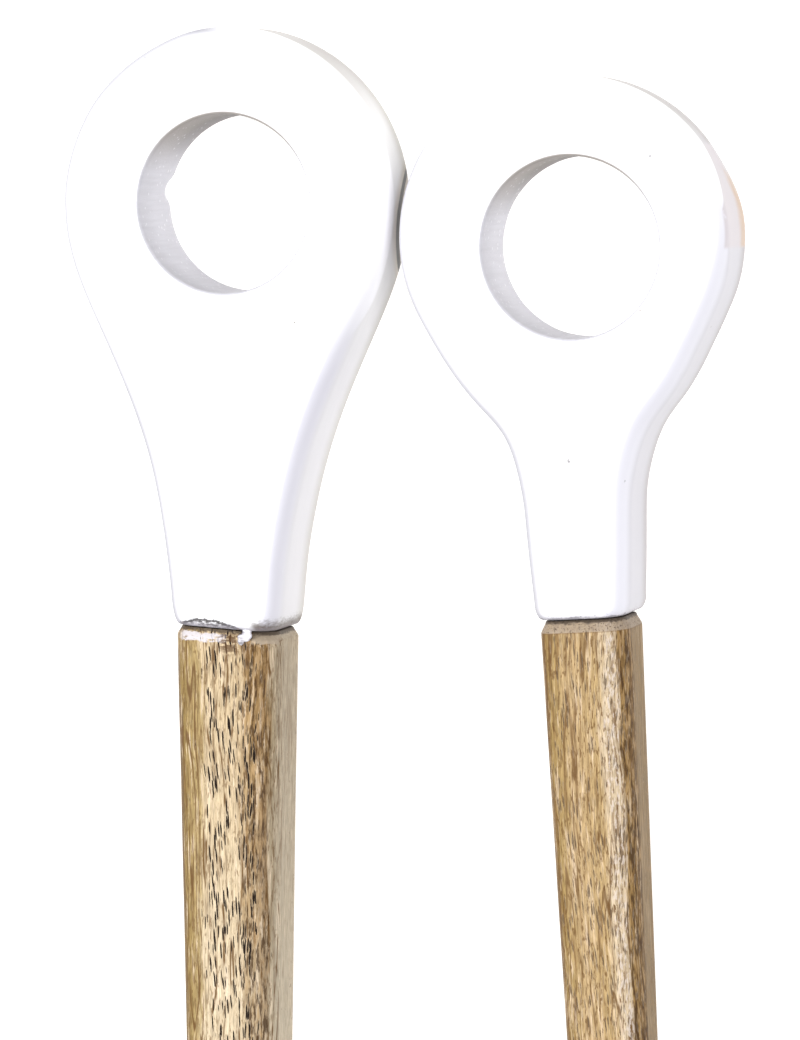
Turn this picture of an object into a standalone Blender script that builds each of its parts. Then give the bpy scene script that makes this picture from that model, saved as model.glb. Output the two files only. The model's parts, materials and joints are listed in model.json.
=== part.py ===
"""Scissor-action kitchen tongs with a closing spring.

Two crossed steel arms turn on one bolt. Each arm ends above in a wooden handle with a
white ring for the fingers, and below in a scalloped jaw.
The tongs lie flat: +Z is up, the rings point to +Y and the jaws to -Y. Units are metres.
"""

import math

import bmesh
import bpy
from mathutils import Matrix, Vector

MM = 0.001

# Where the pieces lie
PIVOT = (0.0, -62.63)
ARM_TILT = {-1: math.radians(1.8), 1: math.radians(1.3)}
AXIS_AT_JOINT = {-1: 29.8, 1: 29.6}
JOINT_ABOVE_PIVOT = 134.0
MID_Z = 8.5
GAP = 0.3

# White rings: heights are measured along the arm from the joint with the wood.
# A crown is trimmed by hand: pairs of bearing in degrees and depth removed.
# The left flank is hollowed and the right one swells a little, as carved wood does.
RING_THICK = 17.0
RING_EDGE = 2.4
FOOT_CORNER = 1.5
FOOT_EDGE = 0.4
HOLE_RADIUS = 14.4
HOLE_EDGE = 0.8
RING_A = {
    "neck": [(9.0, 1.5)],
    "flank": [(8.9, 0.0), (11.4, 39.3), (27.2, 48.5), (27.2, 68.0)],
    "centre": 68.0,
    "crown": (27.2, 28.3),
    "trim": [(0, 0.0), (60, 0.2), (90, 0.0), (120, 0.5), (150, 0.2), (180, 0.0)],
    "hollow": 0.6,
    "swell": 0.0,
    "hole": (0.4, 67.9),
}
RING_B = {
    "neck": [(7.5, 1.5), (8.05, 10.0)],
    "flank": [(8.35, 18.0), (10.83, 37.64), (13.05, 26.61), (24.07, 49.33)],
    "centre": 61.0,
    "crown": (26.75, 26.75),
    "trim": [(-26, 0.0), (0, 0.1), (30, 1.1), (60, 1.2), (90, 1.1), (120, 0.4), (150, 0.0), (206, 0.0)],
    "hollow": 0.0,
    "swell": 0.7,
    "hole": (1.5, 59.3),
}

# Wooden handles: a rounded square that grows thinner towards the pivot
HANDLE_LONG = 86.0
HANDLE_A = {"wide": (17.6, 15.0), "thick": (15.4, 13.6), "corner": 3.0}
HANDLE_B = {"wide": (14.5, 12.7), "thick": (14.2, 12.4), "corner": 2.6}
HANDLE_CHAMFER = 1.2
DOWEL_RADIUS = 3.0
DOWEL_LONG = 36.0
DOWEL_DEEP = 18.0

# Steel
BAR_THICK = 2.4
BAR_WIDE = 11.0
TANG_WIDE = 7.0
TANG_LONG = 26.0
EYE_WIDE = 16.5
LAYER = 1.65
COLLAR_LONG = 5.0
PIN_RADIUS = 1.6
BOLT_RADIUS = 2.5
RUNNING_GAP = 0.1
PEG_RADIUS = 1.2
PEG_REACH = 18.0
RIVET_RADIUS = 1.5
RIVETS_Y = (-70.0, -82.0)

# Jaws
JAW_LONG = 50.0
JAW_CENTRE = -80.0
JAW_DEEP = 6.0
JAW_SHEET = 1.3
JAW_RIM = 1.2
JAW_FLAT = 0.54
JAW_LOBES = 12
ARM_BEHIND_JAW = 8.95

# Spring
WIRE = 0.5
COIL_RADIUS = 4.4
COIL_PITCH = 1.15
COIL_BOTTOM = 13.05
LEG_LONG = 20.0


def clear_scene():
    for old in list(bpy.data.objects):
        bpy.data.objects.remove(old)


def new_collection(name, hidden):
    found = bpy.data.collections.new(name)
    bpy.context.scene.collection.children.link(found)
    found.hide_render = hidden
    return found


def make_material(name, color, metallic, roughness):
    material = bpy.data.materials.new(name)
    material.use_nodes = True
    shader = material.node_tree.nodes["Principled BSDF"]
    shader.inputs["Base Color"].default_value = (*color, 1.0)
    shader.inputs["Metallic"].default_value = metallic
    shader.inputs["Roughness"].default_value = roughness
    return material


def add_mesh(name, bm, material, home):
    """Puts a mesh drawn in millimetres into the scene, in metres."""
    bmesh.ops.recalc_face_normals(bm, faces=bm.faces)
    bmesh.ops.scale(bm, vec=(MM, MM, MM), verts=bm.verts)
    mesh = bpy.data.meshes.new(name)
    bm.to_mesh(mesh)
    bm.free()
    obj = bpy.data.objects.new(name, mesh)
    home.objects.link(obj)
    if material:
        mesh.materials.append(material)
    return obj


def loft(rings):
    """A solid through closed rings of points, each with the same count."""
    bm = bmesh.new()
    rows = []
    for ring in rings:
        rows.append([bm.verts.new(point) for point in ring])
    count = len(rows[0])
    for low, high in zip(rows, rows[1:]):
        for i in range(count):
            j = (i + 1) % count
            bm.faces.new((low[i], low[j], high[j], high[i]))
    bm.faces.new(rows[0])
    bm.faces.new(rows[-1])
    return bm


def lathe(profile, segments):
    """A solid of revolution about Z, from (radius, height) pairs that begin and end on the axis."""
    bm = bmesh.new()
    rows = []
    for radius, height in profile:
        if radius == 0:
            rows.append([bm.verts.new((0, 0, height))])
            continue
        row = []
        for i in range(segments):
            turn = math.tau * i / segments
            row.append(bm.verts.new((radius * math.cos(turn), radius * math.sin(turn), height)))
        rows.append(row)
    for low, high in zip(rows, rows[1:]):
        for i in range(segments):
            j = (i + 1) % segments
            corners = [low[i % len(low)], low[j % len(low)], high[j % len(high)], high[i % len(high)]]
            bm.faces.new(list(dict.fromkeys(corners)))
    return bm


def tube(outer, inner, low, high, segments):
    """A plain washer or sleeve about Z."""
    bm = bmesh.new()
    rows = []
    for radius, height in ((inner, low), (outer, low), (outer, high), (inner, high)):
        row = []
        for i in range(segments):
            turn = math.tau * i / segments
            row.append(bm.verts.new((radius * math.cos(turn), radius * math.sin(turn), height)))
        rows.append(row)
    for k in range(4):
        near, far = rows[k], rows[(k + 1) % 4]
        for i in range(segments):
            j = (i + 1) % segments
            bm.faces.new((near[i], near[j], far[j], far[i]))
    return bm


def bezier(points, count):
    found = []
    a, b, c, d = (Vector(point) for point in points)
    for i in range(count):
        t = i / (count - 1)
        s = 1 - t
        found.append(s**3 * a + 3 * s * s * t * b + 3 * s * t * t * c + t**3 * d)
    return found


def rounded_rectangle(wide, tall, radius, steps):
    """Points of a rectangle with round corners, counter-clockwise about its centre."""
    points = []
    for k, (sx, sy) in enumerate(((1, 1), (-1, 1), (-1, -1), (1, -1))):
        for i in range(steps + 1):
            turn = math.pi / 2 * (k + i / steps)
            x = sx * (wide / 2 - radius) + radius * math.cos(turn)
            y = sy * (tall / 2 - radius) + radius * math.sin(turn)
            points.append((x, y))
    return points


def arm_matrix(side):
    """From an arm's own frame to the world: its Y runs up the handle and its X to the right."""
    across = PIVOT[0] + side * AXIS_AT_JOINT[side]
    place = Matrix.Translation((across, PIVOT[1] + JOINT_ABOVE_PIVOT, 0))
    return place @ Matrix.Rotation(side * ARM_TILT[side], 4, "Z")


def cut(obj, cutter):
    modifier = obj.modifiers.new("cut " + cutter.name, "BOOLEAN")
    modifier.operation = "DIFFERENCE"
    modifier.solver = "EXACT"
    modifier.object = cutter
    cutter.display_type = "WIRE"


def add_cutter(name, bm, matrix):
    bm.transform(matrix)
    return add_mesh(name, bm, None, helpers)


def cylinder_cutter(name, radius, low, high, matrix):
    bm = lathe([(0, low), (radius, low), (radius, high), (0, high)], 32)
    return add_cutter(name, bm, matrix)


def smooth(low, high, value):
    t = min(1.0, max(0.0, (value - low) / (high - low)))
    return t * t * (3 - 2 * t)


def trim_at(table, bearing):
    for (low, first), (high, last) in zip(table, table[1:]):
        if low <= bearing <= high:
            return first + (last - first) * smooth(low, high, bearing)
    return 0.0


def ring_outline(shape):
    """The outline of one ring and its neck, counter-clockwise from the foot of the neck."""
    foot = shape["neck"][0][0] - FOOT_CORNER
    flank = [tuple(p) for p in bezier(shape["flank"], 15)]
    right = [(foot, 0.0)] + shape["neck"] + [p for p in flank if p[1] > 3.5]
    hollow = shape["hollow"]
    left = []
    for x, y in reversed(right):
        carved = hollow * smooth(8, 30, y) * (1 - smooth(42, 66, y))
        left.append((carved - x, y))
    swell = shape["swell"]
    right = [(x + swell * smooth(20, 31, y) * (1 - smooth(31, 44, y)), y) for x, y in right]
    wide, tall = shape["crown"]
    centre = shape["centre"]
    first = math.degrees(math.asin((flank[-1][1] - centre) / tall))
    crown = []
    steps = 28
    for i in range(1, steps):
        bearing = first + (180 - 2 * first) * i / steps
        cut_back = trim_at(shape["trim"], bearing)
        turn = math.radians(bearing)
        x = (wide - cut_back) * math.cos(turn)
        crown.append((x, centre + (tall - cut_back) * math.sin(turn)))
    return right + crown + left


def inset(outline, distance):
    """The outline moved inwards, each corner along the line that halves it."""
    count = len(outline)
    found = []
    for i in range(count):
        before = Vector(outline[i - 1])
        here = Vector(outline[i])
        after = Vector(outline[(i + 1) % count])
        along = (here - before).normalized()
        onward = (after - here).normalized()
        normal = Vector((-along.y, along.x)) + Vector((-onward.y, onward.x))
        normal.normalize()
        lean = max(0.5, normal.dot(Vector((-along.y, along.x))))
        found.append(here + normal * distance / lean)
    return found


def make_ring(name, shape, side, material):
    outline = ring_outline(shape)
    rings = []
    for i in range(5):
        turn = math.pi / 2 * i / 4
        rings.append((RING_EDGE * (1 - math.sin(turn)), RING_EDGE * (1 - math.cos(turn))))
    stack = rings + [(d, RING_THICK - z) for d, z in reversed(rings)]
    levels = []
    for distance, z in stack:
        level = inset(outline, distance)
        for i in (0, 1, -2, -1):
            level[i].y = outline[i][1] + (level[i].y - outline[i][1]) * FOOT_EDGE
        levels.append([(p.x, p.y, z) for p in level])
    bm = loft(levels)
    bm.transform(arm_matrix(side))
    ring = add_mesh(name, bm, material, home)

    edge = HOLE_EDGE
    flare = [(HOLE_RADIUS + 2 * edge, -1.0), (HOLE_RADIUS + edge, 0.0)]
    flare.append((HOLE_RADIUS + 0.3 * edge, 0.3 * edge))
    flare.append((HOLE_RADIUS, edge))
    mirrored = [(r, RING_THICK - z) for r, z in reversed(flare)]
    profile = [(0, -1.0)] + flare + mirrored + [(0, RING_THICK + 1.0)]
    hole = Matrix.Translation((*shape["hole"], 0))
    cut(ring, add_cutter(name + "_hole", lathe(profile, 48), arm_matrix(side) @ hole))

    lie = Matrix.Translation((0, 0, MID_Z)) @ Matrix.Rotation(-math.pi / 2, 4, "X")
    deep = DOWEL_DEEP + GAP
    socket = cylinder_cutter(
        name + "_socket", DOWEL_RADIUS + GAP, -2.0, deep, arm_matrix(side) @ lie
    )
    cut(ring, socket)
    return ring


def make_dowel(name, side, material):
    low = -(DOWEL_LONG - DOWEL_DEEP)
    radius = DOWEL_RADIUS
    profile = [(0, low), (radius - 0.5, low), (radius, low + 0.5)]
    profile += [(radius, DOWEL_DEEP - 0.5), (radius - 0.5, DOWEL_DEEP), (0, DOWEL_DEEP)]
    bm = lathe(profile, 20)
    lie = Matrix.Translation((0, 0, MID_Z)) @ Matrix.Rotation(-math.pi / 2, 4, "X")
    bm.transform(arm_matrix(side) @ lie)
    return add_mesh(name, bm, material, home)


def handle_section(shape, share, shrink):
    wide = shape["wide"][0] + (shape["wide"][1] - shape["wide"][0]) * share
    thick = shape["thick"][0] + (shape["thick"][1] - shape["thick"][0]) * share
    corner = shape["corner"]
    return rounded_rectangle(wide - 2 * shrink, thick - 2 * shrink, corner - shrink * 0.5, 4)


def make_handle(name, shape, side, material):
    top = -GAP
    end = -HANDLE_LONG
    half = HANDLE_CHAMFER / 2
    stations = [(top, HANDLE_CHAMFER), (top - half * 0.6, half * 0.8), (top - 2 * half, 0)]
    stations += [(end * share, 0) for share in (0.25, 0.5, 0.75)]
    stations += [(end + 2 * half, 0), (end + half * 0.6, half * 0.8), (end, HANDLE_CHAMFER)]
    rings = []
    for y, shrink in stations:
        section = handle_section(shape, -y / HANDLE_LONG, shrink)
        rings.append([(x, y, MID_Z + z) for x, z in section])
    bm = loft(rings)
    bm.transform(arm_matrix(side))
    handle = add_mesh(name, bm, material, home)

    lie = Matrix.Translation((0, 0, MID_Z)) @ Matrix.Rotation(-math.pi / 2, 4, "X")
    deep = DOWEL_LONG - DOWEL_DEEP + GAP
    here = arm_matrix(side)
    cut(handle, cylinder_cutter(name + "_socket", DOWEL_RADIUS + GAP, -deep, 2.0, here @ lie))
    slot = box_mesh(
        (TANG_WIDE / 2 + GAP, BAR_THICK / 2 + GAP),
        (end - 2.0, end + TANG_LONG + GAP),
    )
    cut(handle, add_cutter(name + "_slot", slot, here))
    pin = Matrix.Translation((0, end + 11.0, 0))
    cut(handle, cylinder_cutter(name + "_pinhole", PIN_RADIUS + GAP, -2, 20, here @ pin))
    return handle


def box_mesh(half, span):
    """A box about the arm's axis, from one height along it to another."""
    rings = []
    for y in span:
        corners = ((1, 1), (-1, 1), (-1, -1), (1, -1))
        rings.append([(sx * half[0], y, MID_Z + sz * half[1]) for sx, sz in corners])
    return loft(rings)


def make_pin(name, shape, side, material):
    """A steel pin through the handle and the tang, with low domed heads."""
    share = (HANDLE_LONG - 11.0) / HANDLE_LONG
    thick = shape["thick"][0] + (shape["thick"][1] - shape["thick"][0]) * share
    low = MID_Z - thick / 2
    high = MID_Z + thick / 2
    profile = [(0, low - 0.5), (0.9, low - 0.35), (PIN_RADIUS, low + 0.1)]
    profile += [(PIN_RADIUS, high - 0.1), (0.9, high + 0.35), (0, high + 0.5)]
    bm = lathe(profile, 16)
    bm.transform(arm_matrix(side) @ Matrix.Translation((0, -HANDLE_LONG + 11.0, 0)))
    return add_mesh(name, bm, material, home)


def make_collar(name, shape, side, material):
    """A steel bolster under the end of the wood, with a slot for the arm."""
    top = -HANDLE_LONG - GAP
    rings = []
    for down, shrink in ((0, 0.4), (0.4, 0), (2.2, 0), (COLLAR_LONG - 0.6, 1.4), (COLLAR_LONG, 2.0)):
        section = handle_section(shape, 1.0, shrink)
        rings.append([(x, top - down, MID_Z + z) for x, z in section])
    bm = loft(rings)
    here = arm_matrix(side)
    bm.transform(here)
    collar = add_mesh(name, bm, material, home)
    half = (TANG_WIDE / 2 + GAP, BAR_THICK / 2 + GAP)
    slot = box_mesh(half, (top - COLLAR_LONG - 2, top + 2))
    cut(collar, add_cutter(name + "_slot", slot, here))
    return collar


def bar_path(side):
    """Stations down one steel arm: middle, half width, height of its layer and its twist."""
    here = arm_matrix(side)
    start = here @ Vector((0, -HANDLE_LONG + TANG_LONG, 0))
    collar = here @ Vector((0, -HANDLE_LONG - COLLAR_LONG - 0.9, 0))
    pivot = Vector((*PIVOT, 0))
    down = (collar - start).normalized()
    inward = Vector((-side * 0.62, -0.785, 0)).normalized()
    points = [start, start + (collar - start) * 0.5, collar]
    bend = bezier([collar, collar + down * 24.0, pivot - inward * 26.0, pivot], 15)
    points += bend[1:]
    jaw = Vector((PIVOT[0] - side * ARM_BEHIND_JAW, PIVOT[1] - 60.0, 0))
    across = bezier([pivot, pivot + inward * 24.0, jaw + Vector((0, 30.0, 0)), jaw], 17)
    points += across[1:]
    for y in (-66.0, -73.0, -80.0, -86.0, -88.2, -89.4, -90.0):
        points.append(Vector((PIVOT[0] - side * ARM_BEHIND_JAW, PIVOT[1] + y, 0)))
    return points, len(bend) + 2


def make_bar(name, side, material):
    """One flat steel arm: tang, bend, eye on the pivot, quarter twist and jaw end."""
    points, _ = bar_path(side)
    above = 1 if side < 0 else -1
    rings = []
    for i, here in enumerate(points):
        before = points[max(0, i - 1)]
        after = points[min(len(points) - 1, i + 1)]
        along = (after - before).normalized()
        reach = (here - Vector((*PIVOT, 0))).length
        height = above * LAYER * (1 - smooth(20.0, 31.0, reach))
        wide = BAR_WIDE + (EYE_WIDE - BAR_WIDE) * (1 - smooth(3.0, 13.0, reach))
        below = PIVOT[1] - here.y
        if i <= 2:
            wide = TANG_WIDE
        elif i == 3:
            wide = (TANG_WIDE + BAR_WIDE) / 2
        if below > 85.0:
            wide = BAR_WIDE * math.sqrt(max(0.05, 1 - ((below - 84.0) / 6.2) ** 2))
        twist = -side * math.pi / 2 * smooth(27.0, 58.0, below)
        flat = Vector((-along.y, along.x, 0))
        up = Vector((0, 0, 1))
        across = flat * math.cos(twist) + up * math.sin(twist)
        through = up * math.cos(twist) - flat * math.sin(twist)
        middle = Vector((here.x, here.y, MID_Z + height))
        section = rounded_rectangle(wide, BAR_THICK, 0.5, 2)
        rings.append([middle + across * u + through * v for u, v in section])
    bar = add_mesh(name, loft(rings), material, home)

    pivot = Matrix.Translation((*PIVOT, 0))
    cut(bar, cylinder_cutter(name + "_eye", BOLT_RADIUS + RUNNING_GAP, 2, 15, pivot))
    pin = arm_matrix(side) @ Matrix.Translation((0, -HANDLE_LONG + 11.0, 0))
    cut(bar, cylinder_cutter(name + "_pinhole", PIN_RADIUS + GAP, 2, 15, pin))
    peg = Matrix.Translation((*peg_place(side), 0))
    cut(bar, cylinder_cutter(name + "_peghole", PEG_RADIUS * 0.8 + 0.15, 2, 15, peg))
    for k, y in enumerate(RIVETS_Y):
        turn = Matrix.Translation((PIVOT[0], PIVOT[1] + y, MID_Z)) @ Matrix.Rotation(math.pi / 2, 4, "Y")
        turn = turn @ Matrix.Scale(-side, 4, (0, 0, 1))
        hole = cylinder_cutter(f"{name}_hole_{k}", RIVET_RADIUS + 0.2, 4, 14, turn)
        cut(bar, hole)
    return bar


def peg_place(side):
    """Where the spring's peg stands on an arm: on its middle line, above the pivot."""
    points, last = bar_path(side)
    middle = Vector((*PIVOT, 0))
    for far, near in zip(points[:last], points[1:last]):
        if (near - middle).length < PEG_REACH:
            spread = (far - middle).length - (near - middle).length
            share = (PEG_REACH - (near - middle).length) / spread
            spot = near + (far - near) * share
            return (spot.x, spot.y)
    return PIVOT


def make_peg(name, side, top, material):
    above = 1 if side < 0 else -1
    low = MID_Z + above * LAYER - BAR_THICK / 2
    high = low + BAR_THICK
    neck = PEG_RADIUS * 0.8
    profile = [(0, low), (neck, low), (neck, high + 0.15), (PEG_RADIUS + 0.5, high + 0.15)]
    profile += [(PEG_RADIUS + 0.5, high + 0.9), (PEG_RADIUS, high + 1.0)]
    profile += [(PEG_RADIUS, top - 0.9), (PEG_RADIUS + 0.5, top - 0.7)]
    profile += [(PEG_RADIUS + 0.4, top - 0.1), (0, top)]
    bm = lathe(profile, 16)
    bm.transform(Matrix.Translation((*peg_place(side), 0)))
    return add_mesh(name, bm, material, home)


def make_jaw(name, side, material):
    """A dished oval plate with a scalloped rim. Its hollow faces the other jaw."""
    out = -side
    turns = 72
    shares = (JAW_FLAT, 0.7, 0.82, 0.91, 0.97, 1.0)
    bm = bmesh.new()
    faces = []
    for layer in (0, 1):
        long = JAW_LONG / 2 - JAW_RIM * (1 - layer)
        tall = RING_THICK / 2 - JAW_RIM * (1 - layer)
        deep = JAW_DEEP + JAW_SHEET * layer
        rows = []
        for share in shares:
            slope = max(0.0, (share - JAW_FLAT) / (1 - JAW_FLAT))
            x = out * (0.5 * GAP + deep * math.sqrt(1 - slope * slope))
            row = []
            for i in range(turns):
                turn = math.tau * i / turns
                span = share * (1 + 0.03 * share**4 * (math.cos(JAW_LOBES * turn) - 1))
                y = PIVOT[1] + JAW_CENTRE + long * span * math.cos(turn)
                z = MID_Z + tall * span * math.sin(turn)
                row.append(bm.verts.new((PIVOT[0] + x, y, z)))
            rows.append(row)
        for low, high in zip(rows, rows[1:]):
            for i in range(turns):
                j = (i + 1) % turns
                bm.faces.new((low[i], low[j], high[j], high[i]))
        bm.faces.new(rows[0])
        faces.append(rows[-1])
    inner_rim, outer_rim = faces
    for i in range(turns):
        j = (i + 1) % turns
        bm.faces.new((inner_rim[i], inner_rim[j], outer_rim[j], outer_rim[i]))
    jaw = add_mesh(name, bm, material, home)
    for k, y in enumerate(RIVETS_Y):
        turn = Matrix.Translation((PIVOT[0], PIVOT[1] + y, MID_Z)) @ Matrix.Rotation(math.pi / 2, 4, "Y")
        turn = turn @ Matrix.Scale(out, 4, (0, 0, 1))
        hole = cylinder_cutter(f"{name}_hole_{k}", RIVET_RADIUS + 0.2, 4, 9, turn)
        cut(jaw, hole)
    return jaw


def make_rivet(name, side, y, material):
    """A rivet from inside the jaw's hollow out through the arm."""
    out = -side
    inner = JAW_DEEP + 0.15
    outer = ARM_BEHIND_JAW + BAR_THICK / 2
    head = RIVET_RADIUS + 1.1
    profile = [(0, inner - 1.3), (1.4, inner - 1.15), (head, inner - 0.3), (head, inner - 0.2)]
    profile += [(RIVET_RADIUS, inner - 0.2), (RIVET_RADIUS, outer + 0.2), (head, outer + 0.2)]
    profile += [(head, outer + 0.3), (1.4, outer + 1.15), (0, outer + 1.3)]
    bm = lathe(profile, 16)
    turn = Matrix.Translation((PIVOT[0], PIVOT[1] + y, MID_Z)) @ Matrix.Rotation(math.pi / 2, 4, "Y")
    turn = turn @ Matrix.Scale(out, 4, (0, 0, 1))
    bm.transform(turn)
    return add_mesh(name, bm, material, home)


def make_bolt(name, material):
    """A pan-head bolt with a slot, from above the coil down to the nut."""
    radius = BOLT_RADIUS
    profile = [(0, 1.2), (radius - 0.4, 1.2), (radius, 1.6), (radius, 17.6), (6.0, 17.6)]
    profile += [(6.2, 17.9), (6.0, 18.8), (5.2, 19.4), (3.0, 19.7), (0, 19.7)]
    bm = lathe(profile, 32)
    bm.transform(Matrix.Translation((*PIVOT, 0)))
    bolt = add_mesh(name, bm, material, home)
    slot = bmesh.new()
    bmesh.ops.create_cube(slot, size=1.0)
    bmesh.ops.scale(slot, vec=(1.3, 20, 2.0), verts=slot.verts)
    place = Matrix.Translation((*PIVOT, 19.6)) @ Matrix.Rotation(math.radians(35), 4, "Z")
    cut(bolt, add_cutter(name + "_slot", slot, place))
    return bolt


def make_nut(name, material):
    rings = []
    for z, wide in ((1.7, 4.2), (2.1, 4.6), (4.3, 4.6), (4.7, 4.2)):
        ring = []
        for i in range(6):
            turn = math.tau * i / 6
            ring.append((PIVOT[0] + wide * math.cos(turn), PIVOT[1] + wide * math.sin(turn), z))
        rings.append(ring)
    nut = add_mesh(name, loft(rings), material, home)
    bore = cylinder_cutter(name + "_bore", BOLT_RADIUS + 0.1, 0, 6, Matrix.Translation((*PIVOT, 0)))
    cut(nut, bore)
    return nut


def make_washer(name, outer, low, high, material):
    bm = tube(outer, BOLT_RADIUS + GAP, low, high, 32)
    bm.transform(Matrix.Translation((*PIVOT, 0)))
    return add_mesh(name, bm, material, home)


def spring_points():
    """The wire's middle line: a leg, the coil about the bolt, and the other leg."""
    reach = COIL_RADIUS
    clear = PEG_RADIUS + WIRE + GAP
    headings = {}
    for side in (-1, 1):
        peg = Vector(peg_place(side)) - Vector(PIVOT)
        lean = math.asin((reach - clear) / peg.length)
        headings[side] = math.atan2(peg.y, peg.x) + side * lean
    # Each leg is a tangent of the coil that passes its peg on the side away from the middle.
    start_turn = headings[-1] + math.pi / 2
    end_turn = headings[1] - math.pi / 2
    while end_turn < start_turn + 3 * math.tau:
        end_turn += math.tau
    base = Vector(PIVOT)
    points = []
    direction = Vector((math.cos(headings[-1]), math.sin(headings[-1])))
    first = Vector((math.cos(start_turn), math.sin(start_turn))) * reach
    for share in (1.0, 0.6, 0.25):
        spot = base + first + direction * LEG_LONG * share
        points.append((spot.x, spot.y, COIL_BOTTOM))
    count = int((end_turn - start_turn) / math.tau * 20)
    top = COIL_BOTTOM
    for i in range(count + 1):
        turn = start_turn + (end_turn - start_turn) * i / count
        top = COIL_BOTTOM + COIL_PITCH * (turn - start_turn) / math.tau
        points.append((base.x + reach * math.cos(turn), base.y + reach * math.sin(turn), top))
    direction = Vector((math.cos(headings[1]), math.sin(headings[1])))
    last = Vector((math.cos(end_turn), math.sin(end_turn))) * reach
    for share in (0.25, 0.6, 1.0):
        spot = base + last + direction * LEG_LONG * share
        points.append((spot.x, spot.y, top))
    return points


def make_spring(name, material):
    """A torsion spring drawn as a curve with a round section and closed ends."""
    points = spring_points()
    curve = bpy.data.curves.new(name, "CURVE")
    curve.dimensions = "3D"
    curve.bevel_depth = WIRE * MM
    curve.bevel_resolution = 2
    curve.use_fill_caps = True
    spline = curve.splines.new("POLY")
    spline.points.add(len(points) - 1)
    for target, (x, y, z) in zip(spline.points, points):
        target.co = (x * MM, y * MM, z * MM, 1.0)
    curve.materials.append(material)
    obj = bpy.data.objects.new(name, curve)
    home.objects.link(obj)
    return obj


def hang_on_pivot(pieces, name):
    """An empty on the joint's axis that carries the arm that turns."""
    pivot = bpy.data.objects.new(name, None)
    pivot.empty_display_size = 0.02
    pivot.location = (PIVOT[0] * MM, PIVOT[1] * MM, MID_Z * MM)
    home.objects.link(pivot)
    bpy.context.view_layer.update()
    for piece in pieces:
        piece.parent = pivot
        piece.matrix_parent_inverse = pivot.matrix_world.inverted()


clear_scene()
home = new_collection("spring_kitchen_tongs", False)
helpers = new_collection("cutters", True)

white = make_material("white_lacquer", (0.93, 0.93, 0.94), 0.0, 0.35)
wood = make_material("mango_wood", (0.62, 0.45, 0.27), 0.0, 0.5)
dowel_wood = make_material("dowel_wood", (0.75, 0.58, 0.38), 0.0, 0.7)
steel = make_material("brushed_steel", (0.62, 0.62, 0.61), 1.0, 0.32)
wire_steel = make_material("spring_wire", (0.50, 0.50, 0.50), 1.0, 0.25)

turning = []
for letter, side, ring_shape, handle_shape, peg_top in (
    ("a", -1, RING_A, HANDLE_A, 14.9),
    ("b", 1, RING_B, HANDLE_B, 19.0),
):
    pieces = [
        make_ring("ring_grip_" + letter, ring_shape, side, white),
        make_dowel("dowel_" + letter, side, dowel_wood),
        make_handle("handle_" + letter, handle_shape, side, wood),
        make_pin("tang_pin_" + letter, handle_shape, side, steel),
        make_collar("collar_" + letter, handle_shape, side, steel),
        make_bar("arm_" + letter, side, steel),
        make_peg("spring_peg_" + letter, side, peg_top, steel),
        make_jaw("jaw_" + letter, side, steel),
    ]
    for number, y in enumerate(RIVETS_Y, 1):
        pieces.append(make_rivet(f"jaw_rivet_{letter}{number}", side, y, steel))
    if letter == "b":
        turning = pieces

make_bolt("pivot_bolt", steel)
make_nut("pivot_nut", steel)
make_washer("washer_top", 6.2, 11.65, 12.25, steel)
make_washer("washer_middle", 7.0, 8.25, 8.75, steel)
make_washer("washer_bottom", 6.2, 4.85, 5.35, steel)
make_spring("torsion_spring", wire_steel)
hang_on_pivot(turning, "turning_arm")
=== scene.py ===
"""The looks of a pair of scissor-action kitchen tongs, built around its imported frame.

Shapes are drawn in millimetres and scaled to metres when they become meshes. The tongs lie
flat: +Z is up, the white rings point to +Y and the steel jaws to -Y. Arm "a" is the left one.
"""

import json
import math

import bmesh
import bpy
from mathutils import Matrix, Vector, noise


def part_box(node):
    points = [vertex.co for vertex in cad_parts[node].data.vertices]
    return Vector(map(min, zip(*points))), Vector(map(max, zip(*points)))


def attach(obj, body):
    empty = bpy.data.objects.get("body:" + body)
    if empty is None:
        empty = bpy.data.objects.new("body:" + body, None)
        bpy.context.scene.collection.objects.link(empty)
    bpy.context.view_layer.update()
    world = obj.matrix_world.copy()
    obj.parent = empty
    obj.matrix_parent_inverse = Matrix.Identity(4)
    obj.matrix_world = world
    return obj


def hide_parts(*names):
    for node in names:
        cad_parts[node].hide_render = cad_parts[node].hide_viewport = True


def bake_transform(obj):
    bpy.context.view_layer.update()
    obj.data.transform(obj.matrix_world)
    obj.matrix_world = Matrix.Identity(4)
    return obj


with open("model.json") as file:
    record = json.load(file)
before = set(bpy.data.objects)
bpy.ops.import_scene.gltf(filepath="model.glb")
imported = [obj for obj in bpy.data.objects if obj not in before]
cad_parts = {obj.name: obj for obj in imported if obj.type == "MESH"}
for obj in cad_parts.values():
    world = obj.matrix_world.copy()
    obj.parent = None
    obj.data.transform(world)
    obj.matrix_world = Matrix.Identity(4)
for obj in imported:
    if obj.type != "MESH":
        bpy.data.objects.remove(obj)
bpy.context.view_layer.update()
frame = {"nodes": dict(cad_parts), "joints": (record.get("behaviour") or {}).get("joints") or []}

MM = 0.001
BODY = {"a": "left_arm", "b": "right_arm"}
SIDE = {"a": -1, "b": 1}

# The frame of the tongs, as the CAD has it
PIVOT = Vector(frame["joints"][0]["pos_m"]) / MM
MID_Z = PIVOT.z
JOINT_ABOVE_PIVOT = 134.0
ARM_TILT = {"a": math.radians(1.8), "b": math.radians(1.3)}
AXIS_AT_JOINT = {"a": 29.8, "b": 29.6}
GAP = 0.3

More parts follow.
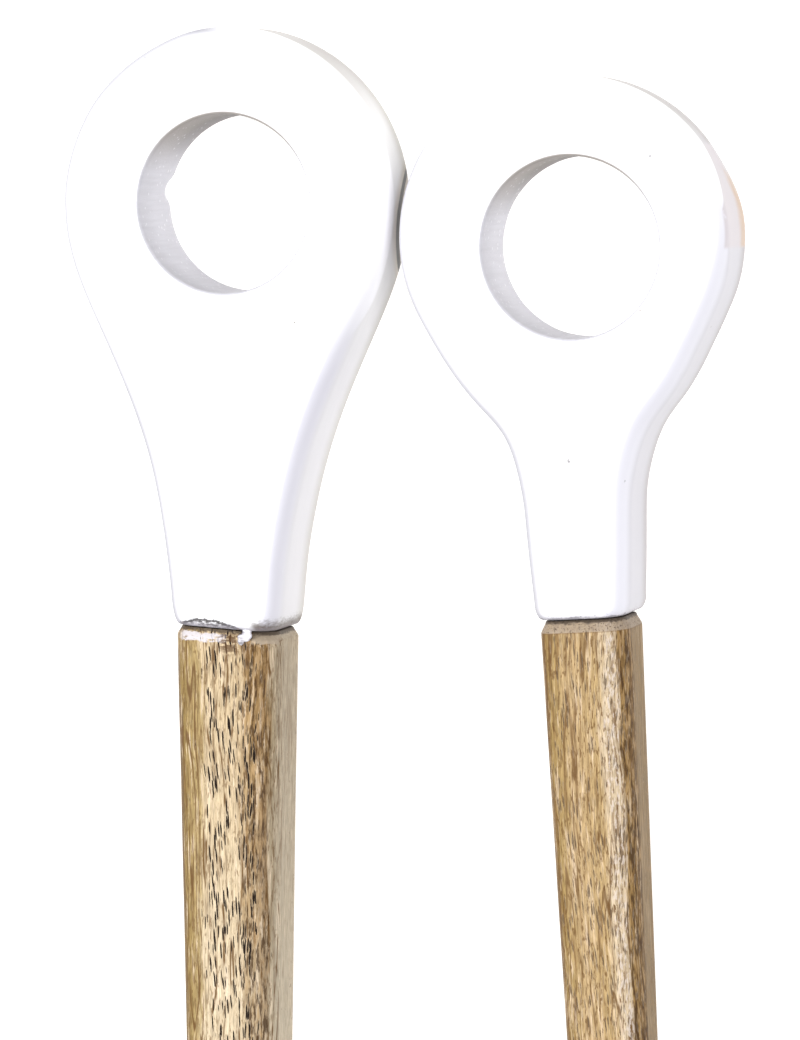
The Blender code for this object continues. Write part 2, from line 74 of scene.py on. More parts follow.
# White rings, measured along the arm from the joint with the wood
RING_THICK = 17.0
SHOULDER_WIDE = 5.2
SHOULDER_DROP = 1.9
SHOULDER_CURVE = 3.1
ROUND_OVER = 5.4
BACK_DROP = 1.0
FOOT_ROUND = {"a": (1.2, 4.0), "b": (1.25, 2.2)}
FOOT_WIDE = 1.3
FOOT_DROP = 0.7
HOLE_RADIUS = 14.4
HOLE_LIP = 0.6
# The outline is a neck, a Bezier flank and an elliptic crown. The trim cuts the crown back by
# bearing, the swell and the hollow push a flank out or in, and up to the ladder's top the face
# is meshed straight across. The chip and the flare are on the back lip of the bore, and crisp is
# how much of the right edge's round-over is missing high on the ring. A paint run is a row of
# drops: x, y, half width, half length.
RING = {
    "a": {
        "neck": [(9.0, 0.0), (9.0, 1.5)],
        "flank": [(8.9, 0.0), (11.4, 39.3), (27.2, 48.5), (27.2, 68.0)],
        "flank_from": 3.5,
        "centre": 68.0,
        "crown": (27.2, 28.3),
        "trim": [(0, 0.0), (60, 0.2), (90, 0.0), (120, 0.5), (150, 0.2), (180, 0.0)],
        "hollow": 0.6,
        "swell": 0.0,
        "hole": Vector((0.4, 67.9)),
        "ladder_top": 42.0,
        "chip": (172.0, 12.0),
        "flare": 0.0,
        "crisp": 0.0,
        "paint_run": [
            (3.9, 0.0, 0.8, 0.9), (3.9, -0.8, 0.9, 0.8),
            (3.4, -1.3, 1.1, 0.7), (2.9, -1.9, 0.6, 0.8),
        ],
    },
    "b": {
        "neck": [(7.5, 0.0), (7.5, 1.5), (8.05, 10.0)],
        "flank": [(8.35, 18.0), (10.83, 37.64), (13.05, 26.61), (24.07, 49.33)],
        "flank_from": 18.0,
        "centre": 61.0,
        "crown": (26.75, 26.75),
        "trim": [
            (-26, 0.0), (0, 0.1), (30, 1.1), (60, 1.2),
            (90, 1.1), (120, 0.4), (150, 0.0), (206, 0.0),
        ],
        "hollow": 0.0,
        "swell": 0.7,
        "hole": Vector((1.5, 59.3)),
        "ladder_top": 33.0,
        "chip": (0.0, 0.0),
        "flare": 2.2,
        "crisp": 0.55,
        "paint_run": [],
    },
}

# Wooden handles
HANDLE_LONG = 86.0
# Width and thickness at the top and at the end, and the radius of each corner of the section
HANDLE = {
    "a": {"wide": (17.6, 15.0), "thick": (15.4, 13.6), "corners": (4.6, 3.0, 3.0, 3.0)},
    "b": {"wide": (14.5, 12.7), "thick": (14.2, 12.4), "corners": (4.6, 2.6, 2.6, 2.6)},
}
# How far the top end is cut in, and how far down that cut reaches
HANDLE_TOP = {"a": (1.0, 1.4), "b": (1.15, 1.75)}
SOCKET_RADIUS = 3.3
SOCKET_DEEP = 18.3
PIN_ABOVE_END = 11.0

# The cut between white and wood: its height on the arm's axis, and its slant to the right
JOINT = {"a": (-0.72, -0.058), "b": (0.57, 0.015)}
JOINT_FADE = 12.0

# Steel
BAR_THICK = 2.4
BAR_WIDE = 11.0
TANG_WIDE = 7.0
TANG_LONG = 26.0
EYE_WIDE = 16.5
LAYER = 1.65
COLLAR_LONG = 5.0
BOLT_RADIUS = 2.5
PIN_RADIUS = 1.6
PEG_RADIUS = 1.2
RIVET_RADIUS = 1.5
JAW_LONG = 50.0
JAW_CENTRE = -80.0
JAW_DEEP = 6.0
JAW_SHEET = 1.3
JAW_RIM = 1.2
JAW_FLAT = 0.54
JAW_LOBES = 12
ARM_BEHIND_JAW = 8.95
WIRE = 0.5
COIL_RADIUS = 4.4
COIL_PITCH = 1.15
COIL_BOTTOM = 13.05
LEG_LONG = 20.0
PEG_NECK = 0.8
ACROSS = Matrix.Rotation(math.pi / 2, 4, "Y")

# Clearance of a hole about what goes through it
BOLT_PLAY = 0.1
NUT_PLAY = 0.08
PIN_PLAY = 0.12
PEG_PLAY = 0.05
RIVET_PLAY = 0.08


# Where in the noise each arm's wear is taken from, so that the two differ
EDGE_SEED = {"a": 3, "b": 40}
DISH_SEED = {"a": 8, "b": 70}
RIPPLE_SEED = {"a": 15, "b": 90}
WOOD_SEED = {"a": 0, "b": 60}


# ---------------------------------------------------------------- shaping helpers


def smooth(low, high, value):
    t = min(1.0, max(0.0, (value - low) / (high - low)))
    return t * t * (3 - 2 * t)


def bump(centre, half, value):
    """1 at the centre, 0 from half away."""
    return 1 - smooth(0, half, abs(value - centre)) if half else 0.0


def wander(x, y, z, size):
    """Smooth noise from about -1 to 1, with waves of that size in millimetres."""
    return noise.noise(Vector((x, y, z)) / size)


def bezier(points, count):
    a, b, c, d = (Vector(point) for point in points)
    found = []
    for i in range(count):
        t = i / (count - 1)
        s = 1 - t
        found.append(s**3 * a + 3 * s * s * t * b + 3 * s * t * t * c + t**3 * d)
    return found


def resample(points, marks):
    """Points at these distances along a line of points."""
    lengths = [0.0]
    for a, b in zip(points, points[1:]):
        lengths.append(lengths[-1] + (b - a).length)
    found = []
    k = 0
    for mark in marks:
        while k < len(points) - 2 and lengths[k + 1] < mark:
            k += 1
        share = (mark - lengths[k]) / (lengths[k + 1] - lengths[k])
        found.append(points[k].lerp(points[k + 1], min(1.0, share)))
    return found, lengths[-1]


def relaxed(points, rounds):
    """A line of points with its kinks smoothed and its ends kept."""
    for _ in range(rounds):
        middle = [(a + 2 * b + c) / 4 for a, b, c in zip(points, points[1:], points[2:])]
        points = [points[0]] + middle + [points[-1]]
    return points


def rounded_rectangle(wide, tall, radii, steps, flats=1):
    """Points of a rectangle with round corners, each flat cut in equal parts."""
    points = []
    for k, (sx, sy) in enumerate(((1, 1), (-1, 1), (-1, -1), (1, -1))):
        radius = radii[k]
        for i in range(steps + 1):
            turn = math.pi / 2 * (k + i / steps)
            x = sx * (wide / 2 - radius) + radius * math.cos(turn)
            y = sy * (tall / 2 - radius) + radius * math.sin(turn)
            points.append(Vector((x, y)))
    found = []
    corner = steps + 1
    for k in range(4):
        found += points[k * corner : (k + 1) * corner]
        start = points[(k + 1) * corner - 1]
        stop = points[(k + 1) * corner % len(points)]
        found += [start.lerp(stop, i / flats) for i in range(1, flats)]
    return found


UP_THE_ARM = Matrix.Translation((0, 0, MID_Z)) @ Matrix.Rotation(-math.pi / 2, 4, "X")


def arm_matrix(letter):
    """From an arm's own frame to the world: its Y runs up the handle and its X to the right."""
    side = SIDE[letter]
    place = (PIVOT.x + side * AXIS_AT_JOINT[letter], PIVOT.y + JOINT_ABOVE_PIVOT, 0)
    return Matrix.Translation(place) @ Matrix.Rotation(side * ARM_TILT[letter], 4, "Z")


def joint_shift(letter, x, y):
    """How far the slanting cut moves a point along the arm; it fades out away from the joint."""
    level, slant = JOINT[letter]
    return (level + slant * x) * (1 - smooth(0, JOINT_FADE, abs(y)))


def centre_of(node):
    low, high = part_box(node)
    return (low + high) / 2 / MM


def standing(spot):
    """An upright axis through the spot."""
    return Matrix.Translation((spot.x, spot.y, 0))


def toward(turn):
    return Vector((math.cos(turn), math.sin(turn)))


def circle(bm, radius, height, count):
    turns = [math.tau * i / count for i in range(count)]
    return [bm.verts.new((radius * math.cos(t), radius * math.sin(t), height)) for t in turns]


def join_rows(bm, rows):
    """Faces between each closed row of points and the next."""
    for low, high in zip(rows, rows[1:]):
        for i in range(len(low)):
            j = (i + 1) % len(low)
            bm.faces.new((low[i], low[j], high[j], high[i]))


def loft(rings):
    """A closed skin through rings of points, each with the same count."""
    bm = bmesh.new()
    rows = [[bm.verts.new(point) for point in ring] for ring in rings]
    join_rows(bm, rows)
    bm.faces.new(rows[0])
    bm.faces.new(rows[-1])
    return bm


def lathe(profile, segments=64):
    """A solid of revolution about Z, from (radius, height) pairs from axis to axis."""
    bm = bmesh.new()
    rows = [circle(bm, radius, z, segments if radius else 1) for radius, z in profile]
    for low, high in zip(rows, rows[1:]):
        for i in range(segments):
            j = (i + 1) % segments
            corners = [low[i % len(low)], low[j % len(low)]]
            corners += [high[j % len(high)], high[i % len(high)]]
            bm.faces.new(list(dict.fromkeys(corners)))
    return bm


def rounded_profile(profile, radius):
    """A lathe profile with its inner corners rounded."""
    steps = 3
    found = [profile[0]]
    for before, here, after in zip(profile, profile[1:], profile[2:]):
        a, b, c = Vector(before), Vector(here), Vector(after)
        reach = min(radius, (a - b).length * 0.45, (c - b).length * 0.45)
        start = b + (a - b).normalized() * reach
        stop = b + (c - b).normalized() * reach
        for i in range(steps + 1):
            t = i / steps
            spot = start * (1 - t) ** 2 + b * 2 * t * (1 - t) + stop * t * t
            found.append((max(0.0, spot.x), spot.y))
    found.append(profile[-1])
    return found


def sweep(path, radius, sides):
    """A round wire along a line of points, with slightly domed ends."""
    rings = []
    up = Vector((0, 0, 1))
    last = len(path) - 1
    for i, here in enumerate(path):
        along = (path[min(i + 1, last)] - path[max(i - 1, 0)]).normalized()
        across = up.cross(along).normalized()
        over = along.cross(across)
        ring = []
        for k in range(sides):
            turn = math.tau * k / sides
            ring.append(here + (across * math.cos(turn) + over * math.sin(turn)) * radius)
        rings.append((here, along, ring))

    def dome(end, share, out):
        here, along, ring = end
        return [here + (p - here) * share + along * out * radius for p in ring]

    skins = [dome(rings[0], share, -out) for share, out in ((0.55, 0.3), (0.85, 0.16))]
    skins += [ring for _, _, ring in rings]
    skins += [dome(rings[-1], share, out) for share, out in ((0.85, 0.16), (0.55, 0.3))]
    return loft(skins)


def make_object(name, bm):
    bmesh.ops.recalc_face_normals(bm, faces=bm.faces)
    bmesh.ops.scale(bm, vec=(MM, MM, MM), verts=bm.verts)
    mesh = bpy.data.meshes.new(name)
    bm.to_mesh(mesh)
    bm.free()
    obj = bpy.data.objects.new(name, mesh)
    bpy.context.scene.collection.objects.link(obj)
    return obj


def applied(obj):
    """Makes the object's modifiers real."""
    graph = bpy.context.evaluated_depsgraph_get()
    graph.update()
    mesh = bpy.data.meshes.new_from_object(obj.evaluated_get(graph))
    obj.modifiers.clear()
    obj.data = mesh


def carve(obj, cutters):
    """Takes the cutters' shapes, drawn in millimetres, away from the object."""
    tools = [make_object("cutter", bm) for bm in cutters]
    for tool in tools:
        modifier = obj.modifiers.new("carve", "BOOLEAN")
        modifier.operation = "DIFFERENCE"
        modifier.solver = "EXACT"
        modifier.object = tool
    applied(obj)
    for tool in tools:
        bpy.data.objects.remove(tool)


def soften(obj, width):
    """Rounds the sharp edges."""
    modifier = obj.modifiers.new("soft edges", "BEVEL")
    modifier.width = width * MM
    modifier.segments = 2
    modifier.limit_method = "ANGLE"
    modifier.angle_limit = math.radians(35)
    modifier.use_clamp_overlap = True
    applied(obj)


def finish_piece(obj, material, body, node, crease=35):
    """Shades the piece smoothly, gives it its material and its body, and hides the CAD node it
    stands for.
    """
    obj.data.shade_smooth()
    obj.data.set_sharp_from_angle(angle=math.radians(crease))
    obj.data.materials.clear()
    obj.data.materials.append(material)
    if body:
        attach(obj, body)
    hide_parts(node)


def cylinder(radius, low, high, matrix):
    bm = lathe([(0, low), (radius, low), (radius, high), (0, high)], 64)
    bm.transform(matrix)
    return bm


def block(half, span, matrix):
    """A box about the arm's axis, from one height along it to another."""
    rings = []
    for y in span:
        corners = ((1, 1), (-1, 1), (-1, -1), (1, -1))
        rings.append([(sx * half[0], y, MID_Z + sz * half[1]) for sx, sz in corners])
    bm = loft(rings)
    bm.transform(matrix)
    return bm


# ---------------------------------------------------------------- materials


class Value:
    """A number in a material's nodes. Arithmetic on it adds the nodes that work it out."""

    def __init__(self, paint, socket):
        self.paint = paint
        self.socket = socket

    def __add__(self, other):
        return self.paint.math("ADD", self, other)

    def __radd__(self, other):
        return self.paint.math("ADD", other, self)

    def __sub__(self, other):
        return self.paint.math("SUBTRACT", self, other)

    def __rsub__(self, other):
        return self.paint.math("SUBTRACT", other, self)

    def __mul__(self, other):
        return self.paint.math("MULTIPLY", self, other)

    def __rmul__(self, other):
        return self.paint.math("MULTIPLY", other, self)


class Paint:
    """A material's nodes, written shortly. Positions are in millimetres in an arm's own frame."""

    def __init__(self, name, letter=None, sockets=None):
        self.material = bpy.data.materials.new(name)
        self.material.use_nodes = True
        self.tree = self.material.node_tree
        self.shader = self.tree.nodes["Principled BSDF"]
        for key, value in (sockets or {}).items():
            self.shader.inputs[key].default_value = value
        coordinates = self.node("TexCoord").outputs["Object"]
        here = arm_matrix(letter) if letter else Matrix.Identity(4)
        back = here.inverted()
        inputs = {
            "Vector": coordinates,
            "Location": back.to_translation(),
            "Rotation": back.to_euler(),
            "Scale": (1 / MM, 1 / MM, 1 / MM),
        }
        self.place = self.node("Mapping", inputs).outputs["Vector"]
        self.x, self.y, self.z = self.split(self.place)

    def fill(self, socket, value):
        """Gives a socket its value, or links it to where the value comes from."""
        value = value.socket if isinstance(value, Value) else value
        if isinstance(value, bpy.types.NodeSocket):
            self.tree.links.new(value, socket)
        else:
            socket.default_value = value

    def node(self, kind, inputs=None, **settings):
        made = self.tree.nodes.new("ShaderNode" + kind)
        for key, value in settings.items():
            setattr(made, key, value)
        for key, value in (inputs or {}).items():
            self.fill(made.inputs[key], value)
        return made

    def math(self, operation, a, b=0.0):
        return Value(self, self.node("Math", {0: a, 1: b}, operation=operation).outputs[0])

    def vector(self, operation, a, b):
        return self.node("VectorMath", {0: a, 1: b}, operation=operation).outputs[0]

    def distance(self, a, b):
        made = self.node("VectorMath", {0: a, 1: b}, operation="DISTANCE")
        return Value(self, made.outputs["Value"])

    def split(self, vector):
        return [Value(self, s) for s in self.node("SeparateXYZ", {"Vector": vector}).outputs]

    def joined(self, x, y, z):
        return self.node("CombineXYZ", {"X": x, "Y": y, "Z": z}).outputs["Vector"]

    def stretched(self, x, y, z, shift=(0, 0, 0), turn=0.0, source=None):
        """The place divided by a size along each axis, so that noise has waves of that size."""
        inputs = {
            "Vector": source or self.place,
            "Scale": (1 / x, 1 / y, 1 / z),
            "Location": shift,
            "Rotation": (0, 0, turn),
        }
        return self.node("Mapping", inputs).outputs["Vector"]

    def noise(self, size, detail=2.0, rough=0.5, color=False, **where):
        """Noise with waves of that size in millimetres along each axis."""
        inputs = {"Vector": self.stretched(*size, **where), "Scale": 1.0}
        made = self.node("TexNoise", inputs | {"Detail": detail, "Roughness": rough})
        return made.outputs["Color"] if color else Value(self, made.outputs["Fac"])

    def cells(self, x, y, z, **where):
        """The distance to the middle of the nearest of many scattered cells of that size."""
        inputs = {"Vector": self.stretched(x, y, z, **where), "Scale": 1.0}
        return Value(self, self.node("TexVoronoi", inputs).outputs["Distance"])

    def ramp(self, value, stops):
        made = self.node("ValToRGB", {"Fac": value})
        made.color_ramp.interpolation = "EASE"
        elements = made.color_ramp.elements
        while len(elements) < len(stops):
            elements.new(0.5)
        for element, (place, tone) in zip(elements, stops):
            element.position = place
            element.color = (*tone, 1.0)
        return made.outputs["Color"]

    def step(self, value, low, high):
        """0 below low and 1 above high, or the reverse if low is the larger."""
        inputs = {"Value": value, "From Min": low, "From Max": high}
        made = self.node("MapRange", inputs, interpolation_type="SMOOTHSTEP")
        return Value(self, made.outputs["Result"])

    def band(self, value, low, high, soft):
        """1 between low and high, with soft borders, and 0 outside."""
        rise = self.step(value, low - soft, low + soft)
        return rise * self.step(value, high + soft, high - soft)

    def squared(self, value):
        return self.math("POWER", value, 2.0)

    def larger(self, a, b):
        return self.math("MAXIMUM", a, b)

    def mix(self, share, a, b, blend="MIX"):
        """Colour a, with colour b laid over it as strongly as the share says."""
        made = self.node("Mix", data_type="RGBA", blend_type=blend)
        first, second = [s for s in made.inputs if s.type == "RGBA"]
        self.fill(made.inputs["Factor"], share)
        for socket, tone in ((first, a), (second, b)):
            self.fill(socket, (*tone, 1.0) if isinstance(tone, tuple) else tone)
        return [s for s in made.outputs if s.type == "RGBA"][0]

    def relief(self, height, distance):
        inputs = {"Height": height, "Strength": 1.0, "Distance": distance * MM}
        return self.node("Bump", inputs).outputs["Normal"]

    def done(self, **results):
        """Wires the results to the shader's sockets."""
        names = {"color": "Base Color", "rough": "Roughness", "normal": "Normal"}
        for key, value in results.items():
            self.fill(self.shader.inputs[names[key]], value)
        return self.material


def joint_level(paint, letter):
    """The height of the slanting cut between white and wood."""
    level, slant = JOINT[letter]
    return level + paint.x * slant


# Painted light and shade on each ring: where the painted highlight on the front of the outer wall
# begins and ends along the arm, and how far it reaches down there; how strongly the painted shade
# on the left edges and on the right of the neck shows; and the strength and tone of the painted
# shade on the outer wall and on its lowest part.
RING_PAINTED_SHADING = {
    "a": {
        "bright": (42.0, 54.0, 6.0),
        "edge": 0.82,
        "neck": 0.88,
        "wall": (0.3, (0.60, 0.59, 0.54)),
        "low_wall": (0.6, (0.36, 0.33, 0.26)),
    },
    "b": {
        "bright": (60.0, 75.0, 9.0),
        "edge": 0.70,
        "neck": 0.80,
        "wall": (0.9, (0.52, 0.51, 0.55)),
        "low_wall": (0.85, (0.34, 0.31, 0.31)),
    },
}
FRONT_EDGE = 16.5

# Dark pits in the paint: x, y, z and radius
SPECKS = {
    "a": [(-13.0, 91.3, 15.8, 0.16), (-4.8, 85.9, 16.9, 0.08)],
    "b": [(15.2, 73.0, 16.9, 0.22), (-0.4, 25.7, 16.9, 0.26), (8.1, 22.1, 14.8, 0.14)],
}


def white_lacquer(letter):
    """Satin white paint on turned wood: pits, a gritty bore, a smudged foot, marks on the right
    walls, and painted light and shade.
    """
    paint = Paint("white_lacquer_" + letter, letter, {"Specular IOR Level": 0.45})
    hole = RING[letter]["hole"]
    painted_shading = RING_PAINTED_SHADING[letter]
    cloud = paint.noise((16, 16, 16), 3)
    color = paint.mix(cloud, (0.84, 0.84, 0.865), (0.90, 0.90, 0.915))

    # the wood's grain and the brush show through as a slow ripple
    ripple = paint.noise((1.6, 26, 1.6), 3)
    peel = paint.noise((0.9, 0.9, 0.9), 2)
    dust = paint.step(paint.noise((0.55, 0.55, 0.55), 1, shift=(7, 3, 1)), 0.70, 0.80)

    # the bore was never sanded: it is duller and full of grains, with painted glints on the grains
    away = paint.distance(paint.joined(paint.x, paint.y, 0.0), (*hole, 0.0))
    bore = paint.step(away, HOLE_RADIUS + 0.5, HOLE_RADIUS + 0.25)
    grit = paint.noise((0.35, 0.35, 0.35), 4, 0.7)
    grains = paint.cells(1.3, 1.3, 1.3)
    inside = bore * paint.step(paint.z, 15.8, 14.8)
    glint = paint.step(grains, 0.22, 0.1) * inside
    # painted shade: the bore is painted darker, most along its top and low down inside
    streak = paint.noise((0.7, 0.7, 9.0), 2, shift=(2, 5, 0))
    bore_shade_tone = paint.mix(streak, (0.55, 0.545, 0.58), (0.69, 0.685, 0.73))
    bore_top_shade = paint.step(paint.y - hole.y, 4.0, 13.0)
    taupe = paint.mix(paint.step(paint.z, 4.0, 14.0), (0.18, 0.155, 0.13), (0.36, 0.325, 0.29))
    bore_shade_tone = paint.mix(bore_top_shade * 0.92, bore_shade_tone, taupe)
    deep = paint.step(paint.z, 10.0, 2.0) * 0.3
    bore_shade_tone = paint.mix(deep, bore_shade_tone, (0.42, 0.41, 0.45))
    color = paint.mix(bore, color, bore_shade_tone)
    color = paint.mix(glint * 0.55, color, (0.90, 0.90, 0.93))

    # painted shade along the left edges of the ring, reaching further in low on the ring
    facing_x, facing_y, facing_z = paint.split(paint.node("TexCoord").outputs["Normal"])
    level = paint.math("ABSOLUTE", facing_z)
    outside = paint.step(away, 17.0, 19.0)
    lower = paint.step(paint.y, 52.0, 24.0) * 0.035
    painted_edge_shade = paint.step(level - lower, 0.92, 0.64) * paint.step(facing_x, 0.2, -0.1)
    if letter == "b":
        painted_edge_shade = painted_edge_shade * paint.step(facing_y, 0.7, 0.3)
    painted_edge_shade = painted_edge_shade * outside * painted_shading["edge"]
    color = paint.mix(painted_edge_shade, color, (0.27, 0.265, 0.31))

    # painted light: high on the ring, the front of the right wall is painted near white, as if lit
    wall = paint.step(level, 0.45, 0.1) * outside
    start, end, fall = painted_shading["bright"]
    limit = FRONT_EDGE - paint.step(paint.y, start, end) * fall
    worn = paint.step(paint.z - limit, -0.9, 0.6)
    wall = wall * (1.0 - worn)
    worn = worn * outside * paint.step(facing_x, 0.05, 0.3) * paint.step(paint.y, start, end)
    color = paint.mix(worn, color, (0.985, 0.985, 1.0))

    # painted shade: the right side of the neck is painted greyer
    neck = paint.step(level, 0.98, 0.8) * paint.step(facing_x, 0.12, 0.35)
    neck = neck * outside * paint.step(paint.y, end + 6.0, start - 4.0)
    color = paint.mix(neck * painted_shading["neck"], color, (0.64, 0.635, 0.70))

    # painted shade on the rest of the outer wall, darkest along the floor and round the crown
    strength, tone = painted_shading["wall"]
    color = paint.mix(wall * strength, color, tone)
    strength, tone = painted_shading["low_wall"]
    color = paint.mix(wall * paint.step(paint.z, 6.5, 0.5) * strength, color, tone)
    crown = paint.step(facing_y, 0.35, 0.9) * wall
    color = paint.mix(crown * 0.85, color, (0.36, 0.33, 0.31))

    # grime and bruised paint where the ring meets the wood, and a band of painted shade just above
    # it
    joint = paint.y - joint_level(paint, letter)
    ragged = paint.noise((2.0, 0.9, 2.0), 5, 0.68, shift=(3, 9, 4))
    edge = joint + (ragged - 0.5) * 1.6
    broken = paint.noise((0.7, 0.35, 0.7), 3, 0.6, shift=(1, 4, 8))
    if letter == "a":
        front = paint.step(paint.x, 4.2, 3.0)
        corner = paint.step(paint.x, 3.9, 5.8)
        # a dark wash under a curved stroke, and soil on the right corner
        bow = 1.35 * (1.0 - paint.squared((paint.x + 2.6) * (1 / 5.7)))
        frayed = paint.noise((0.9, 0.35, 0.9), 4, 0.7, shift=(6, 1, 2))
        over = edge - bow + (frayed - 0.5) * 1.3
        stroke = paint.band(over, -0.42, 0.1, 0.12) * front * paint.step(broken, 0.3, 0.46)
        wash = paint.step(over, 0.1, -0.25) * front * paint.step(broken, 0.66, 0.46)
        streaky = paint.noise((1.8, 0.28, 1.8), 3, 0.6, shift=(4, 4, 1))
        streaky = paint.step(streaky, 0.42, 0.58)
        dirt = paint.mix(streaky, (0.045, 0.036, 0.030), (0.30, 0.285, 0.30))
        color = paint.mix(wash * 0.9, color, dirt)
        color = paint.mix(stroke * 0.9, color, (0.035, 0.03, 0.03))
        smear = edge + (frayed - 0.5) * 2.2
        soil = paint.step(smear, 2.5, 0.3) * corner
        color = paint.mix(soil * 0.95, color, (0.085, 0.060, 0.040))
        grime = paint.larger(stroke, soil * 0.6)
        stain = paint.step(broken, 0.58, 0.66) * paint.step(joint, 0.9, 0.4)
        color = paint.mix(stain * 0.8, color, (0.16, 0.09, 0.05))
    else:
        grime = paint.step(edge, 0.42, 0.1) * 0.8
        dots = paint.step(broken, 0.6, 0.66) * paint.step(joint, 1.1, 0.6)
        grime = paint.larger(grime, dots * 0.75)
        color = paint.mix(grime, color, (0.12, 0.11, 0.12))
    shade = paint.step(joint, 1.0, 0.1) * 0.25
    color = paint.mix(shade, color, (0.55, 0.53, 0.62))

    # odd dark pits; on the right ring, a pinkish patch high on the right wall and a peach-brown
    # strip low on it
    for x, y, z, radius in SPECKS[letter]:
        blur = paint.noise((0.5, 0.5, 0.5), 2, shift=(x, y, z))
        spot = paint.distance(paint.place, (x, y, z)) + (blur - 0.5) * 0.9
        spot = paint.step(spot, radius + 0.15, radius - 0.15)
        color = paint.mix(spot * 0.8, color, (0.12, 0.11, 0.11))
    pits = paint.cells(11, 11, 11, shift=(0.3, 0.1, 0.7))
    color = paint.mix(paint.step(pits, 0.020, 0.012), color, (0.25, 0.23, 0.22))
    patchy = paint.noise((2.5, 2.5, 1.4), 4, 0.6)
    if letter == "b":
        right_wall_patch = paint.band(paint.y, 58.0, 74.5, 0.4) * paint.step(paint.z - limit, 0.2, -0.4)
        right_wall_patch = right_wall_patch * paint.step(paint.x, 14.0, 15.5) * paint.step(level, 0.6, 0.44)
        pink_patch = right_wall_patch * paint.step(patchy, 0.12, 0.42)
        color = paint.mix(pink_patch * 0.95, color, (0.55, 0.51, 0.535))
        low = right_wall_patch * paint.step(paint.z + patchy * 3.0, 8.0, 4.5)
        low = low * paint.step(paint.y + patchy * 6.0, 74.5, 69.0)
        color = paint.mix(low * 0.85, color, (0.53, 0.37, 0.24))
    else:
        # painted shade where this ring's right wall faces the other ring: a beige to taupe band
        # and a near-black line in the gap
        flank = paint.step(paint.x, 14.0, 18.0) * wall
        arc = paint.squared((paint.y - 65.2) * (1 / 8.3))
        above = paint.z - (7.9 - arc * 6.6)
        halo = paint.step(above, 4.0, 0.3) * paint.band(paint.y, 45.0, 78.0, 4.0)
        tone = paint.mix(paint.step(paint.y, 70.0, 74.0), (0.62, 0.55, 0.46), (0.34, 0.29, 0.22))
        color = paint.mix(halo * flank * 0.85, color, tone)
        gap_shadow = paint.band(above, -1.5, 0.45, 0.3) * paint.band(paint.y, 56.6, 74.6, 0.4)
        color = paint.mix(gap_shadow * flank, color, (0.012, 0.011, 0.009))

    height = ripple * 0.5 + peel * 0.12 + dust * 0.25 + grit * bore * 1.6 + glint * 0.6
    rough = 0.28 + cloud * 0.12 + paint.larger(bore, grime) * 0.22
    return paint.done(color=color, rough=rough, normal=paint.relief(height, 0.05))


# The tones go round a handle's front, by millimetres to the right of its axis, and past its edges
# they run down the two sides in darker tones that are painted shade; the right handle's pale band
# near its right front edge is a painted highlight. Brown, pale and pore are the colours of
# streaks, hairlines and vessels. Dense is where the vessels crowd (from, to, fade), with their
# reach outside and inside it, their lean against the arm, the softness of their edge and the depth
# of their colour.
# The mottle and the glint strip are strips across the front, the glint strip holding painted
# glints of the varnish, and the rest are strengths.
WOOD = {
    "a": {
        "tones": [
            (-12.5, (0.26, 0.19, 0.11)), (-9.2, (0.20, 0.135, 0.07)), (-8.3, (0.12, 0.075, 0.030)),
            (-7.4, (0.24, 0.165, 0.060)), (-4.6, (0.33, 0.24, 0.105)), (-3.2, (0.49, 0.385, 0.24)),
            (2.2, (0.47, 0.365, 0.225)), (3.8, (0.28, 0.180, 0.075)), (6.8, (0.19, 0.110, 0.038)),
            (8.4, (0.31, 0.245, 0.155)), (10.5, (0.345, 0.285, 0.20)),
        ],
        "brown": (0.13, 0.068, 0.022),
        "pale": (0.62, 0.50, 0.36),
        "pore": (0.012, 0.007, 0.004),
        "dense": (-3.6, 5.6, 1.0),
        "reach": (0.05, 0.27),
        "lean": (0.07, -0.06),
        "sharp": 0.03,
        "depth": 1.0,
        "streaks": 0.66,
        "lines": 0.95,
        "dashes": 0.60,
        "mottle": (3.2, 7.4),
        "glint_strip": (-20.0, -19.0),
        "end": 0.0,
        "dry": 0.17,
        "seed": (0, 0, 0),
    },
    "b": {
        "tones": [
            (-10.8, (0.26, 0.19, 0.11)), (-7.8, (0.20, 0.13, 0.06)), (-6.8, (0.19, 0.115, 0.045)),
            (-5.4, (0.30, 0.205, 0.080)), (-2.2, (0.39, 0.275, 0.140)), (1.6, (0.36, 0.25, 0.115)),
            (3.2, (0.50, 0.40, 0.27)), (5.0, (0.46, 0.36, 0.235)), (6.0, (0.28, 0.175, 0.065)),
            (9.4, (0.145, 0.082, 0.028)), (10.8, (0.20, 0.13, 0.055)),
        ],
        "brown": (0.125, 0.062, 0.019),
        "pale": (0.60, 0.47, 0.33),
        "pore": (0.045, 0.022, 0.008),
        "dense": (-6.0, 8.0, 1.5),
        "reach": (0.09, 0.14),
        "lean": (0.05, -0.10),
        "sharp": 0.09,
        "depth": 0.72,
        "streaks": 0.66,
        "lines": 0.75,
        "dashes": 0.78,
        "mottle": (5.6, 10.4),
        "glint_strip": (3.2, 5.4),
        "end": 0.8,
        "dry": 0.0,
        "seed": (31, 17, 5),
    },
}
WRAP = 4.0

# The cut end of the wood, in heights from the joint
CUT_EDGE = -2.35
CUT_FADE = -2.05


